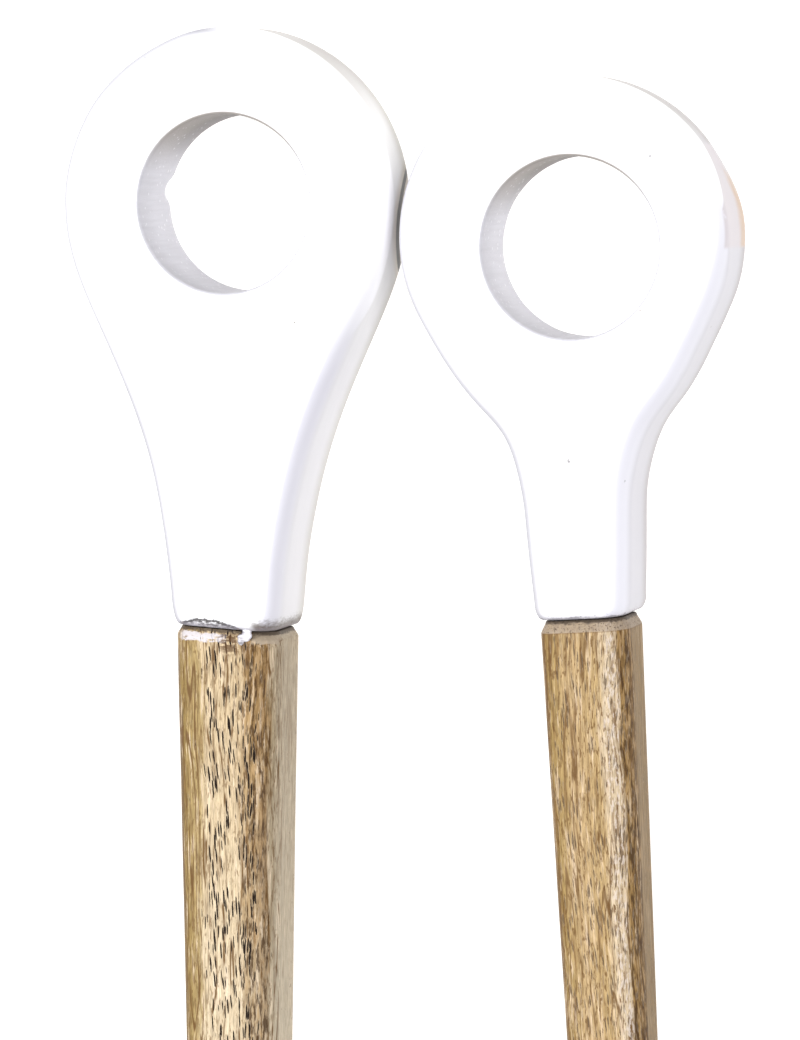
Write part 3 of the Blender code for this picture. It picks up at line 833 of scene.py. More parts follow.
def mango_wood(letter):
    """Open-pored wood along the arm: bands, streaks, fibres, dark vessels and satin varnish."""
    tones = WOOD[letter]
    shape = HANDLE[letter]
    seed = tones["seed"]
    half = shape["wide"][0] / 2
    taper = (shape["wide"][1] / 2 - half) / HANDLE_LONG
    paint = Paint("mango_wood_" + letter, letter, {"Specular IOR Level": 0.12})
    joint = paint.y - joint_level(paint, letter)

    # the grain wanders a little sideways as it runs down the handle
    sway = paint.noise((40, 30, 40), 1, shift=seed) - 0.5
    sway_z = paint.noise((40, 34, 40), 1, shift=(seed[0] + 9, 4, 2)) - 0.5
    bent_x = paint.x + sway * 3.5
    bent_z = paint.z + sway_z * 3.5
    bent = paint.joined(bent_x, paint.y, bent_z)

    # bands of colour across the front and down the sides, with frayed borders; the darker side
    # tones are painted shade, and the right handle's pale band near its right front edge a painted
    # highlight
    wide = half + paint.y * -taper
    front = MID_Z + shape["thick"][0] / 2 - 1.0
    down = paint.larger(front - paint.z, 0.0)
    to_right = paint.step(paint.x - wide, -2.6, -0.4)
    to_left = paint.step(paint.x + wide, 2.6, 0.4)
    around = paint.x + down * (to_right - to_left)
    fray = paint.noise((1.1, 13, 1.1), 4, 0.62, shift=(2, seed[1], 4), source=bent)
    across = around + (fray - 0.5) * 4.6
    reach_out = half + WRAP
    share = paint.math("DIVIDE", across + reach_out, 2 * reach_out)
    stops = [((mm + reach_out) / (2 * reach_out), tone) for mm, tone in tones["tones"]]
    color = paint.ramp(share, stops)
    calm = paint.larger(to_right, to_left) * paint.step(down, 2.5, 4.5)
    lively = 1.0 - calm * 0.65

    # streaks, brown or pale, and the fine fibres
    grain = paint.noise((0.7, 11, 0.7), 4, 0.62, shift=(5, seed[1], 2), source=bent)
    strong = lively * tones["streaks"]
    color = paint.mix(paint.step(grain, 0.51, 0.66) * strong, color, tones["brown"])
    color = paint.mix(paint.step(grain, 0.48, 0.34) * strong, color, tones["pale"])
    fibre = paint.noise((0.17, 2.8, 0.17), 3, 0.65, shift=seed, source=bent)
    hair = paint.mix(paint.step(fibre, 0.30, 0.70), (0.18, 0.165, 0.15), (0.84, 0.84, 0.84))
    color = paint.mix(0.46, color, hair, "OVERLAY")

    # the lower part is drier and paler
    dry = paint.step(paint.y, -8.0, -70.0) * paint.step(across, -5.5, -3.0)
    color = paint.mix(dry * tones["dry"], color, (0.85, 0.78, 0.62))

    # long thin lines where a ring of vessels lies along the surface
    level = paint.noise((3.0, 70, 3.0), 2, 0.35, shift=(4, 4, seed[0]), source=bent)
    level = paint.math("FRACT", level * 8.0)
    lines = paint.step(paint.math("ABSOLUTE", level - 0.5), 0.16, 0.05)
    gaps = paint.noise((1.6, 7, 1.6), 2, shift=(9, seed[1], 1), source=bent)
    gaps = gaps + paint.step(across, -3.2, -4.6) * 0.1
    lines = lines * paint.step(gaps, 0.44, 0.56) * (lively * tones["lines"])
    color = paint.mix(lines, color, tones["brown"])

    # soft brown dashes, thickest in one mottled strip, and a strip of pale flecks, painted glints
    # of the varnish
    dash = paint.noise((0.36, 1.8, 0.36), 3, 0.6, shift=(2, 2, seed[2]), source=bent)
    strength = lively * tones["dashes"]
    color = paint.mix(paint.step(dash, 0.54, 0.64) * strength, color, tones["brown"])
    low, high = tones["mottle"]
    strip = paint.band(across, low, high, 0.5)
    mottle = paint.noise((0.55, 3.6, 0.55), 4, 0.62, shift=(7, 3, seed[2]), source=bent)
    dark = paint.step(mottle, 0.5, 0.6) * (strip * 0.85)
    color = paint.mix(dark, color, (0.055, 0.027, 0.010))
    light = paint.step(mottle, 0.47, 0.38) * (strip * 0.6)
    color = paint.mix(light, color, (0.42, 0.28, 0.14))
    # painted glints: pale flecks in the glint strip, with brown dots among them
    low, high = tones["glint_strip"]
    strip = paint.band(across, low, high, 0.6)
    fleck = paint.noise((0.45, 1.5, 0.45), 4, 0.62, shift=(8, 1, seed[2]))
    light = paint.step(fleck, 0.48, 0.62) * (strip * 0.75)
    color = paint.mix(light, color, (0.60, 0.52, 0.45))
    color = paint.mix(paint.step(fleck, 0.36, 0.3) * strip, color, tones["brown"])

    # vessels: long thin ellipsoids in the solid wood, so that the cut end shows them as dots
    low, high, soft = tones["dense"]
    crowd = paint.band(across, low, high, soft) * lively
    patch = paint.noise((2.2, 7, 2.2), 2, shift=(4, seed[0], 6), source=bent)
    base_reach, more_reach = tones["reach"]
    reach = base_reach + crowd * more_reach + (patch - 0.5) * 0.34
    torn = paint.noise((0.4, 1.4, 0.4), 2, source=bent, color=True)
    torn = paint.vector("SUBTRACT", torn, (0.5, 0.5, 0.5))
    torn = paint.vector("MULTIPLY", torn, (0.15, 1.8, 0.15))
    right = paint.step(paint.x, 1.5, 3.5)
    sharp = tones["sharp"]
    pores, halo = 0.0, 0.0
    for lean, place in zip(tones["lean"], (1.0 - right * 0.3, right)):
        slid = bent_x + paint.y * lean
        spot = paint.vector("ADD", paint.joined(slid, paint.y, bent_z), torn)
        cells = paint.cells(0.42, 4.2, 0.85, shift=(seed[0], lean * 90, 3), source=spot)
        cells = cells - reach * place
        pores = paint.larger(pores, paint.step(cells, sharp, -sharp))
        halo = paint.larger(halo, paint.step(cells, 0.16, 0.0))
    color = paint.mix(halo * 0.3, color, tones["pale"])
    color = paint.mix(pores * tones["depth"], color, tones["pore"])

    # the chamfered end shows its grain cut across
    cut = paint.step(joint, CUT_EDGE, CUT_FADE) * tones["end"]
    color = paint.mix(cut, color, paint.mix(grain, (0.19, 0.14, 0.095), (0.45, 0.37, 0.29)))
    dots = paint.noise((0.28, 0.28, 0.28), 1, shift=(3, 3, 3))
    color = paint.mix(cut * paint.step(dots, 0.62, 0.68), color, tones["pore"])
    rim = paint.band(joint, CUT_EDGE, CUT_EDGE + 0.15, 0.1) * tones["end"]
    color = paint.mix(rim * 0.6, color, tones["brown"])

    # what is left of the white paint, and the grime at the joint
    soot = paint.noise((1.2, 0.5, 1.2), 3, 0.6, shift=(1, 7, 3))
    if letter == "a":
        torn_edge = paint.noise((1.4, 0.6, 1.4), 5, 0.7, shift=(6, 2, 9))
        line = joint + (torn_edge - 0.5) * 1.6
        holes = paint.noise((1.1, 0.5, 1.1), 4, 0.7, shift=(2, 8, 1))
        wiped = paint.band(line, -2.4, -1.0, 0.15) * paint.band(paint.x, -7.4, 0.0, 0.8)
        wiped = wiped * paint.step(holes, 0.66, 0.5)
        color = paint.mix(wiped * 0.88, color, (0.60, 0.57, 0.60))
        pared = paint.band(paint.x, 4.6, 8.4, 0.4) * paint.step(line, -2.3, -1.9)
        color = paint.mix(pared * 0.8, color, (0.40, 0.33, 0.25))
        knot = paint.distance(paint.place, (0.9, -3.0, 15.9))
        knot = paint.step(knot, 1.9 + 0.9, 1.9 - 0.9) * paint.step(soot, 0.4, 0.52)
        color = paint.mix(knot * 0.85, color, (0.09, 0.045, 0.018))
    soot_line = joint + (soot - 0.5) * 1.2
    color = paint.mix(paint.step(soot_line, -1.0, -0.6) * 0.85, color, (0.06, 0.045, 0.035))

    height = fibre * 0.3 + pores * -1.4
    rough = 0.38 + fibre * 0.16 + pores * 0.3
    return paint.done(color=color, rough=rough, normal=paint.relief(height, 0.07))


def steel(name, tone, rough, length, letter=None, turn=0.0):
    """Brushed steel: fine scratches along one way, with dull patches and a few deeper marks."""
    paint = Paint(name, letter, {"Metallic": 1.0, "Roughness": rough})
    brush = paint.noise((0.12, length, 0.12), 3, 0.7, turn=turn)
    broad = paint.noise((0.9, length * 2.5, 0.9), 2, shift=(3, 1, 2), turn=turn)
    dull = paint.noise((9, 14, 9), 3, shift=(1, 4, 2))
    mark = paint.step(paint.noise((0.3, 6, 0.3), 1, shift=(5, 5, 1), turn=turn + 0.5), 0.74, 0.80)
    light = tuple(min(1.0, c * 1.12) for c in tone)
    dark = tuple(c * 0.80 for c in tone)
    color = paint.mix(brush * 0.7 + broad * 0.3, dark, light)
    color = paint.mix(paint.step(dull, 0.55, 0.75) * 0.25, color, dark)
    height = brush + mark * -0.8
    normal = paint.relief(height, 0.008)
    roughness = rough - 0.08 + brush * 0.12
    roughness = roughness + dull * 0.1
    return paint.done(color=color, rough=roughness, normal=normal)


def dowel_wood():
    paint = Paint("dowel_wood", sockets={"Roughness": 0.7})
    fibre = paint.noise((0.3, 7, 0.3), 3, 0.6)
    color = paint.mix(fibre, (0.50, 0.34, 0.18), (0.72, 0.55, 0.36))
    return paint.done(color=color, normal=paint.relief(fibre, 0.05))


def floor_paper():
    """A pale sheet lit from below, as on a light table, so that shadows on it stay faint."""
    paint = Paint("floor_paper", sockets={"Roughness": 0.9})
    paint.shader.inputs["Emission Color"].default_value = (1.0, 0.985, 0.955, 1.0)
    paint.shader.inputs["Emission Strength"].default_value = FLOOR_GLOW
    soft = paint.noise((220, 220, 220), 3)
    return paint.done(color=paint.mix(soft, (0.38, 0.38, 0.38), (0.40, 0.40, 0.40)))


# ---------------------------------------------------------------- white rings

SHOULDER = (0.0, 0.03, 0.08, 0.2, 0.4, 0.7, 1.1, 1.6, 2.2, 3.0, 4.0, SHOULDER_WIDE)
LIP = (1.8, 1.1, HOLE_LIP, 0.36, 0.18, 0.06, 0.0)
FOOT_ROWS = (0.0, 0.05, 0.15, 0.35, 0.6, 0.9, 1.2, 1.6, 2.0, 2.5, 3.0, 3.5, 4.0, 5.0)
CHIP_DEEP = 0.9
CHIP_TALL = 3.0
INNER_COLUMNS = 10
FACE_ROWS = 10
WALL_ROWS = 8
CROWN_STEPS = 130


def trim_at(table, bearing):
    for (low, first), (high, last) in zip(table, table[1:]):
        if low <= bearing <= high:
            return first + (last - first) * smooth(low, high, bearing)
    return 0.0


def ring_edges(shape):
    """The right flank from the foot up, the crown from right to left, and the left flank."""
    flank = [Vector(p) for p in bezier(shape["flank"], 60)]
    line = [Vector(p) for p in shape["neck"]]
    line += [p for p in flank if p.y > shape["flank_from"]]
    long = resample(line, [0.0])[1]
    steps = 84
    even, _ = resample(line, [long * i / steps for i in range(steps + 1)])
    even = relaxed(even, 6)
    marks = list(FOOT_ROWS)
    rest = long - marks[-1]
    marks += [marks[-1] + rest * i / 76 for i in range(1, 77)]
    middle, _ = resample(even, marks)
    swell, hollow = shape["swell"], shape["hollow"]
    right = []
    left = []
    for p in middle:
        out = swell * smooth(20, 31, p.y) * (1 - smooth(31, 44, p.y))
        carved = hollow * smooth(8, 30, p.y) * (1 - smooth(42, 66, p.y))
        right.append(Vector((p.x + out, p.y)))
        left.append(Vector((carved - p.x, p.y)))
    wide, tall = shape["crown"]
    centre = shape["centre"]
    first = math.degrees(math.asin((flank[-1].y - centre) / tall))
    crown = []
    for i in range(1, CROWN_STEPS):
        bearing = first + (180 - 2 * first) * i / CROWN_STEPS
        cut_back = trim_at(shape["trim"], bearing)
        turn = math.radians(bearing)
        x = (wide - cut_back) * math.cos(turn)
        crown.append(Vector((x, centre + (tall - cut_back) * math.sin(turn))))
    return right, crown, left


def inward(line):
    """The direction into the ring at each point of its outline."""
    found = []
    last = len(line) - 1
    for i, here in enumerate(line):
        along = (line[min(i + 1, last)] - line[max(i - 1, 0)]).normalized()
        across = Vector((-along.y, along.x))
        across.y *= smooth(0, 9, here.y)
        found.append(across.normalized())
    return found


def shoulder_drop(distance, soft, front):
    """How far a face falls towards the outline. Soft runs from a crisp edge to a round-over."""
    share = max(0.0, 1 - distance / SHOULDER_WIDE)
    if not front:
        edge = max(0.0, 1 - distance / 0.4)
        return BACK_DROP * share**SHOULDER_CURVE + 0.4 * (1 - math.sqrt(1 - edge * edge))
    crisp = SHOULDER_DROP * share**SHOULDER_CURVE
    round_over = ROUND_OVER * (1 - math.sqrt(1 - share**2.6))
    return crisp + (round_over - crisp) * soft


def foot_drop(y):
    return FOOT_DROP * max(0.0, 1 - y / FOOT_WIDE) ** 2


def make_ring(letter, material):
    """One white head: softened faces, nearly square walls, and a rough round bore."""
    shape = RING[letter]
    right, crown, left = ring_edges(shape)
    flank_count = len(right)
    outline = right + crown + list(reversed(left))
    across = inward(outline)
    count = len(outline)

    inset, tall = FOOT_ROUND[letter]

    def pulled_in(y):
        short = max(0.0, 1 - y / tall)
        return inset * (1 - math.sqrt(1 - short * short))

    def strip_point(i, distance):
        here = outline[i] + across[i] * distance
        here.x -= math.copysign(pulled_in(here.y), outline[i].x)
        worn = 0.05 * (1 + wander(outline[i].x, outline[i].y, EDGE_SEED[letter], 11))
        return here + across[i] * worn * (1 - distance / SHOULDER_WIDE)

    strip = [[strip_point(i, d) for d in SHOULDER] for i in range(count)]
    ladder = max(j for j in range(flank_count) if right[j].y < shape["ladder_top"])
    hole = shape["hole"]

    def mirrored(j):
        return count - 1 - j

    def softness(i):
        """The right edge is rounded over, but for a stretch of the right ring."""
        facing = smooth(-0.35, 0.55, -across[i].x)
        crisp = shape["crisp"] * smooth(52, 60, outline[i].y)
        return facing * (1 - crisp)

    def face_height(point, distance, soft=0.0, front=True):
        drop = (shoulder_drop(distance, soft, front) ** 2 + foot_drop(point.y) ** 2) ** 0.5
        dish = 0.10 * (1 + wander(point.x, point.y, DISH_SEED[letter], 17))
        dish += 0.03 * (1 + wander(point.x, point.y, RIPPLE_SEED[letter], 5))
        return RING_THICK / 2 - drop - dish * min(1.0, distance / 2)

    bm = bmesh.new()
    faces = []
    for up in (1, -1):
        def vert(point, height):
            return bm.verts.new((point.x, point.y, MID_Z + up * height))

        rim = []
        for i in range(count):
            soft = softness(i)
            levels = [face_height(strip[i][k], d, soft, up > 0) for k, d in enumerate(SHOULDER)]
            rim.append([vert(spot, level) for spot, level in zip(strip[i], levels)])
        for i in range(count - 1):
            for k in range(len(SHOULDER) - 1):
                bm.faces.new((rim[i][k], rim[i + 1][k], rim[i + 1][k + 1], rim[i][k + 1]))
        rungs = []
        for j in range(ladder + 1):
            start, stop = rim[j][-1], rim[mirrored(j)][-1]
            rung = [start]
            for k in range(1, INNER_COLUMNS):
                spot = Vector(start.co.xy).lerp(Vector(stop.co.xy), k / INNER_COLUMNS)
                rung.append(vert(spot, face_height(spot, SHOULDER_WIDE)))
            rungs.append(rung + [stop])
        for low, high in zip(rungs, rungs[1:]):
            for k in range(INNER_COLUMNS):
                bm.faces.new((low[k], low[k + 1], high[k + 1], high[k]))
        loop = [rim[i][-1] for i in range(ladder, mirrored(ladder) + 1)]
        loop += list(reversed(rungs[-1][1:-1]))
        outs = [v.co.xy - hole for v in loop]
        bearings = [math.atan2(out.y, out.x) for out in outs]
        rows = [loop]
        # the back lip can be flared, and chipped about one bearing
        flare = shape["flare"] if up < 0 else 0.0
        chips = [0.0] * len(loop)
        if up < 0:
            chips = [bump(*shape["chip"], math.degrees(bearing) % 360) for bearing in bearings]
        outer = HOLE_RADIUS + flare + LIP[0]
        for r in range(1, FACE_ROWS + 1):
            row = []
            for v, bearing in zip(loop, bearings):
                spot = Vector(v.co.xy).lerp(hole + toward(bearing) * outer, r / FACE_ROWS)
                row.append(vert(spot, face_height(spot, SHOULDER_WIDE)))
            rows.append(row)
        for lip in LIP[1:]:
            fall = HOLE_LIP * (1 - min(1.0, lip / HOLE_LIP)) ** 2
            reach = HOLE_RADIUS + flare + lip
            row = []
            for bearing, chip in zip(bearings, chips):
                spot = hole + toward(bearing) * (reach + CHIP_DEEP * chip)
                row.append(vert(spot, face_height(spot, SHOULDER_WIDE) - fall))
            rows.append(row)
        # the wall of the bore, down to its middle
        lip_bottom = rows[-1]
        for r in range(1, WALL_ROWS + 1):
            row = []
            for i, bearing in enumerate(bearings):
                if r == WALL_ROWS and up < 0:
                    row.append(faces[0]["bore"][i])
                    continue
                top = abs(lip_bottom[i].co.z - MID_Z)
                height = top * (1 - r / WALL_ROWS)
                x, y = math.cos(bearing) * 14, math.sin(bearing) * 14
                lumpy = 0.07 * wander(x, y, up * height, 3.5)
                slope = CHIP_DEEP * chips[i] * max(0.0, 1 - (top - height) / CHIP_TALL)
                if flare:
                    short = max(0.0, 1 - (top - height) / flare)
                    slope += flare * (1 - math.sqrt(1 - short * short))
                reach = HOLE_RADIUS + slope + max(0.0, lumpy) * min(1.0, r / 2)
                row.append(vert(hole + toward(bearing) * reach, height))
            rows.append(row)
        join_rows(bm, rows)
        faces.append({"bore": rows[-1], "rim": rim, "rungs": rungs})

    # the outer wall, and the flat end of the foot
    front, back = faces
    wall = []
    for i in range(count):
        top, bottom = front["rim"][i][0], back["rim"][i][0]
        line = [top]
        for r in range(1, WALL_ROWS):
            line.append(bm.verts.new(top.co.lerp(bottom.co, r / WALL_ROWS)))
        wall.append(line + [bottom])
    for i in range(count - 1):
        for r in range(WALL_ROWS):
            bm.faces.new((wall[i][r], wall[i + 1][r], wall[i + 1][r + 1], wall[i][r + 1]))
    ends = []
    for face in faces:
        foot = list(face["rim"][0]) + face["rungs"][0][1:-1]
        foot += list(reversed(face["rim"][mirrored(0)]))
        ends.append(foot)
    end = ends[0] + wall[mirrored(0)][1:-1]
    end += list(reversed(ends[1])) + list(reversed(wall[0][1:-1]))
    bm.faces.new(end)

    for x, y, wide, long in shape["paint_run"]:
        drop = Matrix.Translation((x, y, MID_Z + HANDLE[letter]["thick"][0] / 2 - 0.25))
        drop = drop @ Matrix.Diagonal((wide, long, 0.34, 1.0))
        bmesh.ops.create_icosphere(bm, subdivisions=4, radius=1.0, matrix=drop)
    for v in bm.verts:
        v.co.y += joint_shift(letter, v.co.x, v.co.y)
    here = arm_matrix(letter)
    bm.transform(here)
    ring = make_object("white_ring_" + letter, bm)
    carve(ring, [cylinder(SOCKET_RADIUS, -2.0, SOCKET_DEEP, here @ UP_THE_ARM)])
    finish_piece(ring, material, BODY[letter], "ring_grip_" + letter, 50)


# ---------------------------------------------------------------- wooden handles


def handle_section(letter, share, shrink):
    shape = HANDLE[letter]
    wide = shape["wide"][0] + (shape["wide"][1] - shape["wide"][0]) * share
    thick = shape["thick"][0] + (shape["thick"][1] - shape["thick"][0]) * share
    radii = [corner - shrink * 0.5 for corner in shape["corners"]]
    return rounded_rectangle(wide - 2 * shrink, thick - 2 * shrink, radii, 12, 16)


def make_handle(letter, material):
    """The wood from the ring down to the steel collar, hand-sanded and a little uneven."""
    here = arm_matrix(letter)
    top_cut, top_tall = HANDLE_TOP[letter]
    stations = [(GAP, 1.0), (GAP + 0.12, 0.86)]
    stations += [(GAP + top_tall * t, 1 - t) for t in (0.3, 0.5, 0.7, 0.9)]
    stations += [(GAP + top_tall * t, s) for t, s in ((0.97, 0.06), (1.04, 0.015), (1.15, 0.0))]
    down = GAP + top_tall * 1.15
    end = HANDLE_LONG
    count = 96
    stations += [(down + (end - 1.4 - down) * i / count, 0.0) for i in range(1, count + 1)]
    stations += [(end - 1.2, 0.03), (end - 0.8, 0.25), (end - 0.3, 0.6), (end, 0.9)]
    rings = []
    for y, share in stations:
        shrink = share * top_cut
        section = handle_section(letter, y / HANDLE_LONG, 0.0)
        ring = []
        for p in section:
            out = p.normalized()
            # one front corner of the left handle is pared away at the top
            pared = 0.0
            if letter == "a":
                facing = max(0.0, out.dot(Vector((0.72, 0.69))))
                pared = 0.9 * smooth(0.90, 0.99, facing) * (1 - smooth(0.3, 2.6, y))
            worn = 0.06 * (1 + wander(p.x, y * 0.35, p.y + WOOD_SEED[letter], 6.5))
            size = 1 - (shrink + pared + worn * (1 - share)) / p.length
            x = p.x * size
            ring.append((x, joint_shift(letter, x, y) - y, MID_Z + p.y * size))
        rings.append(ring)
    bm = loft(rings)
    bm.transform(here)
    handle = make_object("wood_handle_" + letter, bm)
    pin = Matrix.Translation((0, PIN_ABOVE_END - HANDLE_LONG, 0))
    slot_half = (TANG_WIDE / 2 + GAP, BAR_THICK / 2 + GAP)
    cutters = [
        cylinder(SOCKET_RADIUS, -SOCKET_DEEP, 2.0, here @ UP_THE_ARM),
        block(slot_half, (-HANDLE_LONG - 2, TANG_LONG + GAP - HANDLE_LONG), here),
        cylinder(PIN_RADIUS + PIN_PLAY, -2.0, 20.0, here @ pin),
    ]
    carve(handle, cutters)
    finish_piece(handle, material, BODY[letter], "handle_" + letter, 32)


# ---------------------------------------------------------------- steel


def rivet_holes(letter, reach):
    """Cutters for the two rivets of a jaw."""
    found = []
    for number in (1, 2):
        spot = centre_of(f"jaw_rivet_{letter}{number}")
        lie = Matrix.Translation(spot) @ ACROSS
        found.append(cylinder(RIVET_RADIUS + RIVET_PLAY, -reach, reach, lie))
    return found


def turned(name, profile, matrix, material, letter, node, rounding=0.15, segments=64):
    bm = lathe(rounded_profile(profile, rounding), segments)
    bm.transform(matrix)
    piece = make_object(name, bm)
    finish_piece(piece, material, BODY[letter], node)


def make_pin(letter, material):
    node = "tang_pin_" + letter
    low, high = (corner.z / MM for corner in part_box(node))
    middle = centre_of(node)
    domed = [(PIN_RADIUS, 0.6), (1.45, 0.25), (0.8, 0.05), (0, 0)]
    profile = [(r, low + z) for r, z in reversed(domed)] + [(r, high - z) for r, z in domed]
    turned("tang_pin_head_" + letter, profile, standing(middle), material, letter, node)


def make_collar(letter, material):
    """A steel bolster under the end of the wood, with a slot for the arm."""
    top = HANDLE_LONG + GAP
    rings = []
    profile = [(0, 0.45), (0.08, 0.2), (0.25, 0.06), (0.5, 0), (1.2, 0), (2.2, 0.02)]
    profile += [(3.0, 0.25), (3.7, 0.62), (COLLAR_LONG - 0.6, 1.15), (COLLAR_LONG - 0.25, 1.5)]
    profile += [(COLLAR_LONG - 0.06, 1.8), (COLLAR_LONG, 2.15)]
    for down, shrink in profile:
        section = handle_section(letter, 1.0, shrink)
        rings.append([(p.x, -top - down, MID_Z + p.y) for p in section])
    here = arm_matrix(letter)
    bm = loft(rings)
    bm.transform(here)
    collar = make_object("steel_collar_" + letter, bm)
    half = (TANG_WIDE / 2 + 0.15, BAR_THICK / 2 + 0.15)
    carve(collar, [block(half, (-top - COLLAR_LONG - 2, -top + 2), here)])
    finish_piece(collar, material, BODY[letter], "collar_" + letter)


def bar_path(letter):
    """The middle line of one steel arm, from inside the wood to behind the jaw."""
    side = SIDE[letter]
    here = arm_matrix(letter)
    start = here @ Vector((0, TANG_LONG - HANDLE_LONG, 0))
    collar = here @ Vector((0, -HANDLE_LONG - COLLAR_LONG - 0.9, 0))
    pivot = Vector((PIVOT.x, PIVOT.y, 0))
    down = (collar - start).normalized()
    inner = Vector((-side * 0.62, -0.785, 0)).normalized()
    points = [start.lerp(collar, i / 10) for i in range(10)]
    points += bezier([collar, collar + down * 24.0, pivot - inner * 26.0, pivot], 61)
    jaw = Vector((PIVOT.x - side * ARM_BEHIND_JAW, PIVOT.y - 60.0, 0))
    points += bezier([pivot, pivot + inner * 24.0, jaw + Vector((0, 30.0, 0)), jaw], 61)[1:]
    for i in range(1, 25):
        points.append(Vector((jaw.x, jaw.y - 25.0 * i / 24, 0)))
    for y in (-86.2, -87.2, -88.0, -88.7, -89.2, -89.6, -89.85, -90.0):
        points.append(Vector((jaw.x, PIVOT.y + y, 0)))
    return points, collar.y


def make_bar(letter, material):
    """One flat steel arm: tang, bend, eye on the pivot, quarter twist and jaw end."""
    side = SIDE[letter]
    points, collar_y = bar_path(letter)
    above = -side
    rings = []
    last = len(points) - 1
    for i, here in enumerate(points):
        along = (points[min(last, i + 1)] - points[max(0, i - 1)]).normalized()
        reach = (here - Vector((PIVOT.x, PIVOT.y, 0))).length
        height = above * LAYER * (1 - smooth(20.0, 31.0, reach))
        wide = BAR_WIDE + (EYE_WIDE - BAR_WIDE) * (1 - smooth(3.0, 13.0, reach))
        wide = min(wide, TANG_WIDE + (BAR_WIDE - TANG_WIDE) * smooth(0, 9, collar_y - here.y))
        below = PIVOT.y - here.y
        if below > 85.0:
            wide = BAR_WIDE * math.sqrt(max(0.04, 1 - ((below - 84.0) / 6.1) ** 2))
        twist = -side * math.pi / 2 * smooth(27.0, 58.0, below)
        flat = Vector((-along.y, along.x, 0))
        up = Vector((0, 0, 1))
        across = flat * math.cos(twist) + up * math.sin(twist)
        through = up * math.cos(twist) - flat * math.sin(twist)
        middle = Vector((here.x, here.y, MID_Z + height))
        section = rounded_rectangle(wide, BAR_THICK, [0.55] * 4, 5, 4)
        rings.append([middle + across * p.x + through * p.y for p in section])
    bar = make_object("steel_arm_" + letter, loft(rings))

    pin = centre_of("tang_pin_" + letter)
    peg = centre_of("spring_peg_" + letter)
    cutters = [
        cylinder(BOLT_RADIUS + BOLT_PLAY, 2, 15, standing(PIVOT)),
        cylinder(PIN_RADIUS + PIN_PLAY, 2, 15, standing(pin)),
        cylinder(PEG_RADIUS * PEG_NECK + PEG_PLAY, 2, 15, standing(peg)),
    ]
    carve(bar, cutters + rivet_holes(letter, 8))
    finish_piece(bar, material, BODY[letter], "arm_" + letter, 30)


def make_peg(letter, material):
    """A waisted peg that the spring's leg leans on."""
    node = "spring_peg_" + letter
    middle = centre_of(node)
    low, top = (corner.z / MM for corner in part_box(node))
    neck = PEG_RADIUS * PEG_NECK
    high = low + BAR_THICK
    profile = [(0, low), (neck, low), (neck, high + 0.15), (PEG_RADIUS + 0.5, high + 0.15)]
    profile += [(PEG_RADIUS + 0.5, high + 0.9), (PEG_RADIUS, high + 1.1)]
    profile += [(PEG_RADIUS, top - 0.9), (PEG_RADIUS + 0.5, top - 0.7)]
    profile += [(PEG_RADIUS + 0.4, top - 0.15), (0.6, top), (0, top)]
    place = standing(middle)
    turned("spring_stud_" + letter, profile, place, material, letter, node, 0.12, 40)


def make_jaw(letter, material):
    """A dished oval plate with a scalloped, fluted rim. Its hollow faces the other jaw."""
    out = -SIDE[letter]
    turns = 216
    shares = [JAW_FLAT + (1 - JAW_FLAT) * math.sin(math.pi / 2 * i / 14) for i in range(15)]
    bm = bmesh.new()
    layers = []
    for layer in (0, 1):
        long = JAW_LONG / 2 - JAW_RIM * (1 - layer)
        tall = RING_THICK / 2 - JAW_RIM * (1 - layer)
        deep = JAW_DEEP + JAW_SHEET * layer
        rows = []
        for share in shares:
            slope = max(0.0, (share - JAW_FLAT) / (1 - JAW_FLAT))
            row = []
            for i in range(turns):
                turn = math.tau * i / turns
                wave = (math.cos(JAW_LOBES * turn) - 1) / 2
                span = share * (1 + 0.06 * share**4 * wave)
                dish = deep * math.sqrt(max(0.0, 1 - slope * slope))
                dish += 0.55 * wave * smooth(0.05, 0.7, slope) * (1 - smooth(0.85, 1.0, slope))
                x = out * (0.5 * GAP + dish)
                y = PIVOT.y + JAW_CENTRE + long * span * math.cos(turn)
                z = MID_Z + tall * span * math.sin(turn)
                row.append(bm.verts.new((PIVOT.x + x, y, z)))
            rows.append(row)
        layers.append(rows)
        join_rows(bm, rows)
        bm.faces.new(rows[0])
    # a rounded lip joins the two skins
    lips = []
    for share, lift in ((0.15, 0.14), (0.4, 0.02), (0.7, 0.03), (0.9, 0.16)):
        row = []
        for a, b in zip(layers[0][-1], layers[1][-1]):
            spot = a.co.lerp(b.co, share)
            spot.x += out * lift
            row.append(bm.verts.new(spot))
        lips.append(row)
    for row in (layers[0][-1], layers[1][-1]):
        for v in row:
            v.co.x += out * 0.32
    join_rows(bm, [layers[0][-1], *lips, layers[1][-1]])
    jaw = make_object("scalloped_jaw_" + letter, bm)
    carve(jaw, rivet_holes(letter, 6))
    finish_piece(jaw, material, BODY[letter], "jaw_" + letter, 48)


def make_rivet(letter, number, material):
    """A domed rivet from inside the jaw's hollow out through the arm."""
    node = f"jaw_rivet_{letter}{number}"
    middle = centre_of(node)
    low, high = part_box(node)
    half = (high.x - low.x) / MM / 2
    head = RIVET_RADIUS + 1.1
    dome = [(0, 0), (0.9, 0.08), (1.7, 0.4), (2.3, 0.85), (head, 1.15), (RIVET_RADIUS, 1.15)]
    profile = [(r, z - half) for r, z in dome] + [(r, half - z) for r, z in reversed(dome)]
    lie = Matrix.Translation(middle) @ ACROSS
    turned(f"rivet_head_{letter}{number}", profile, lie, material, letter, node, 0.08, 48)


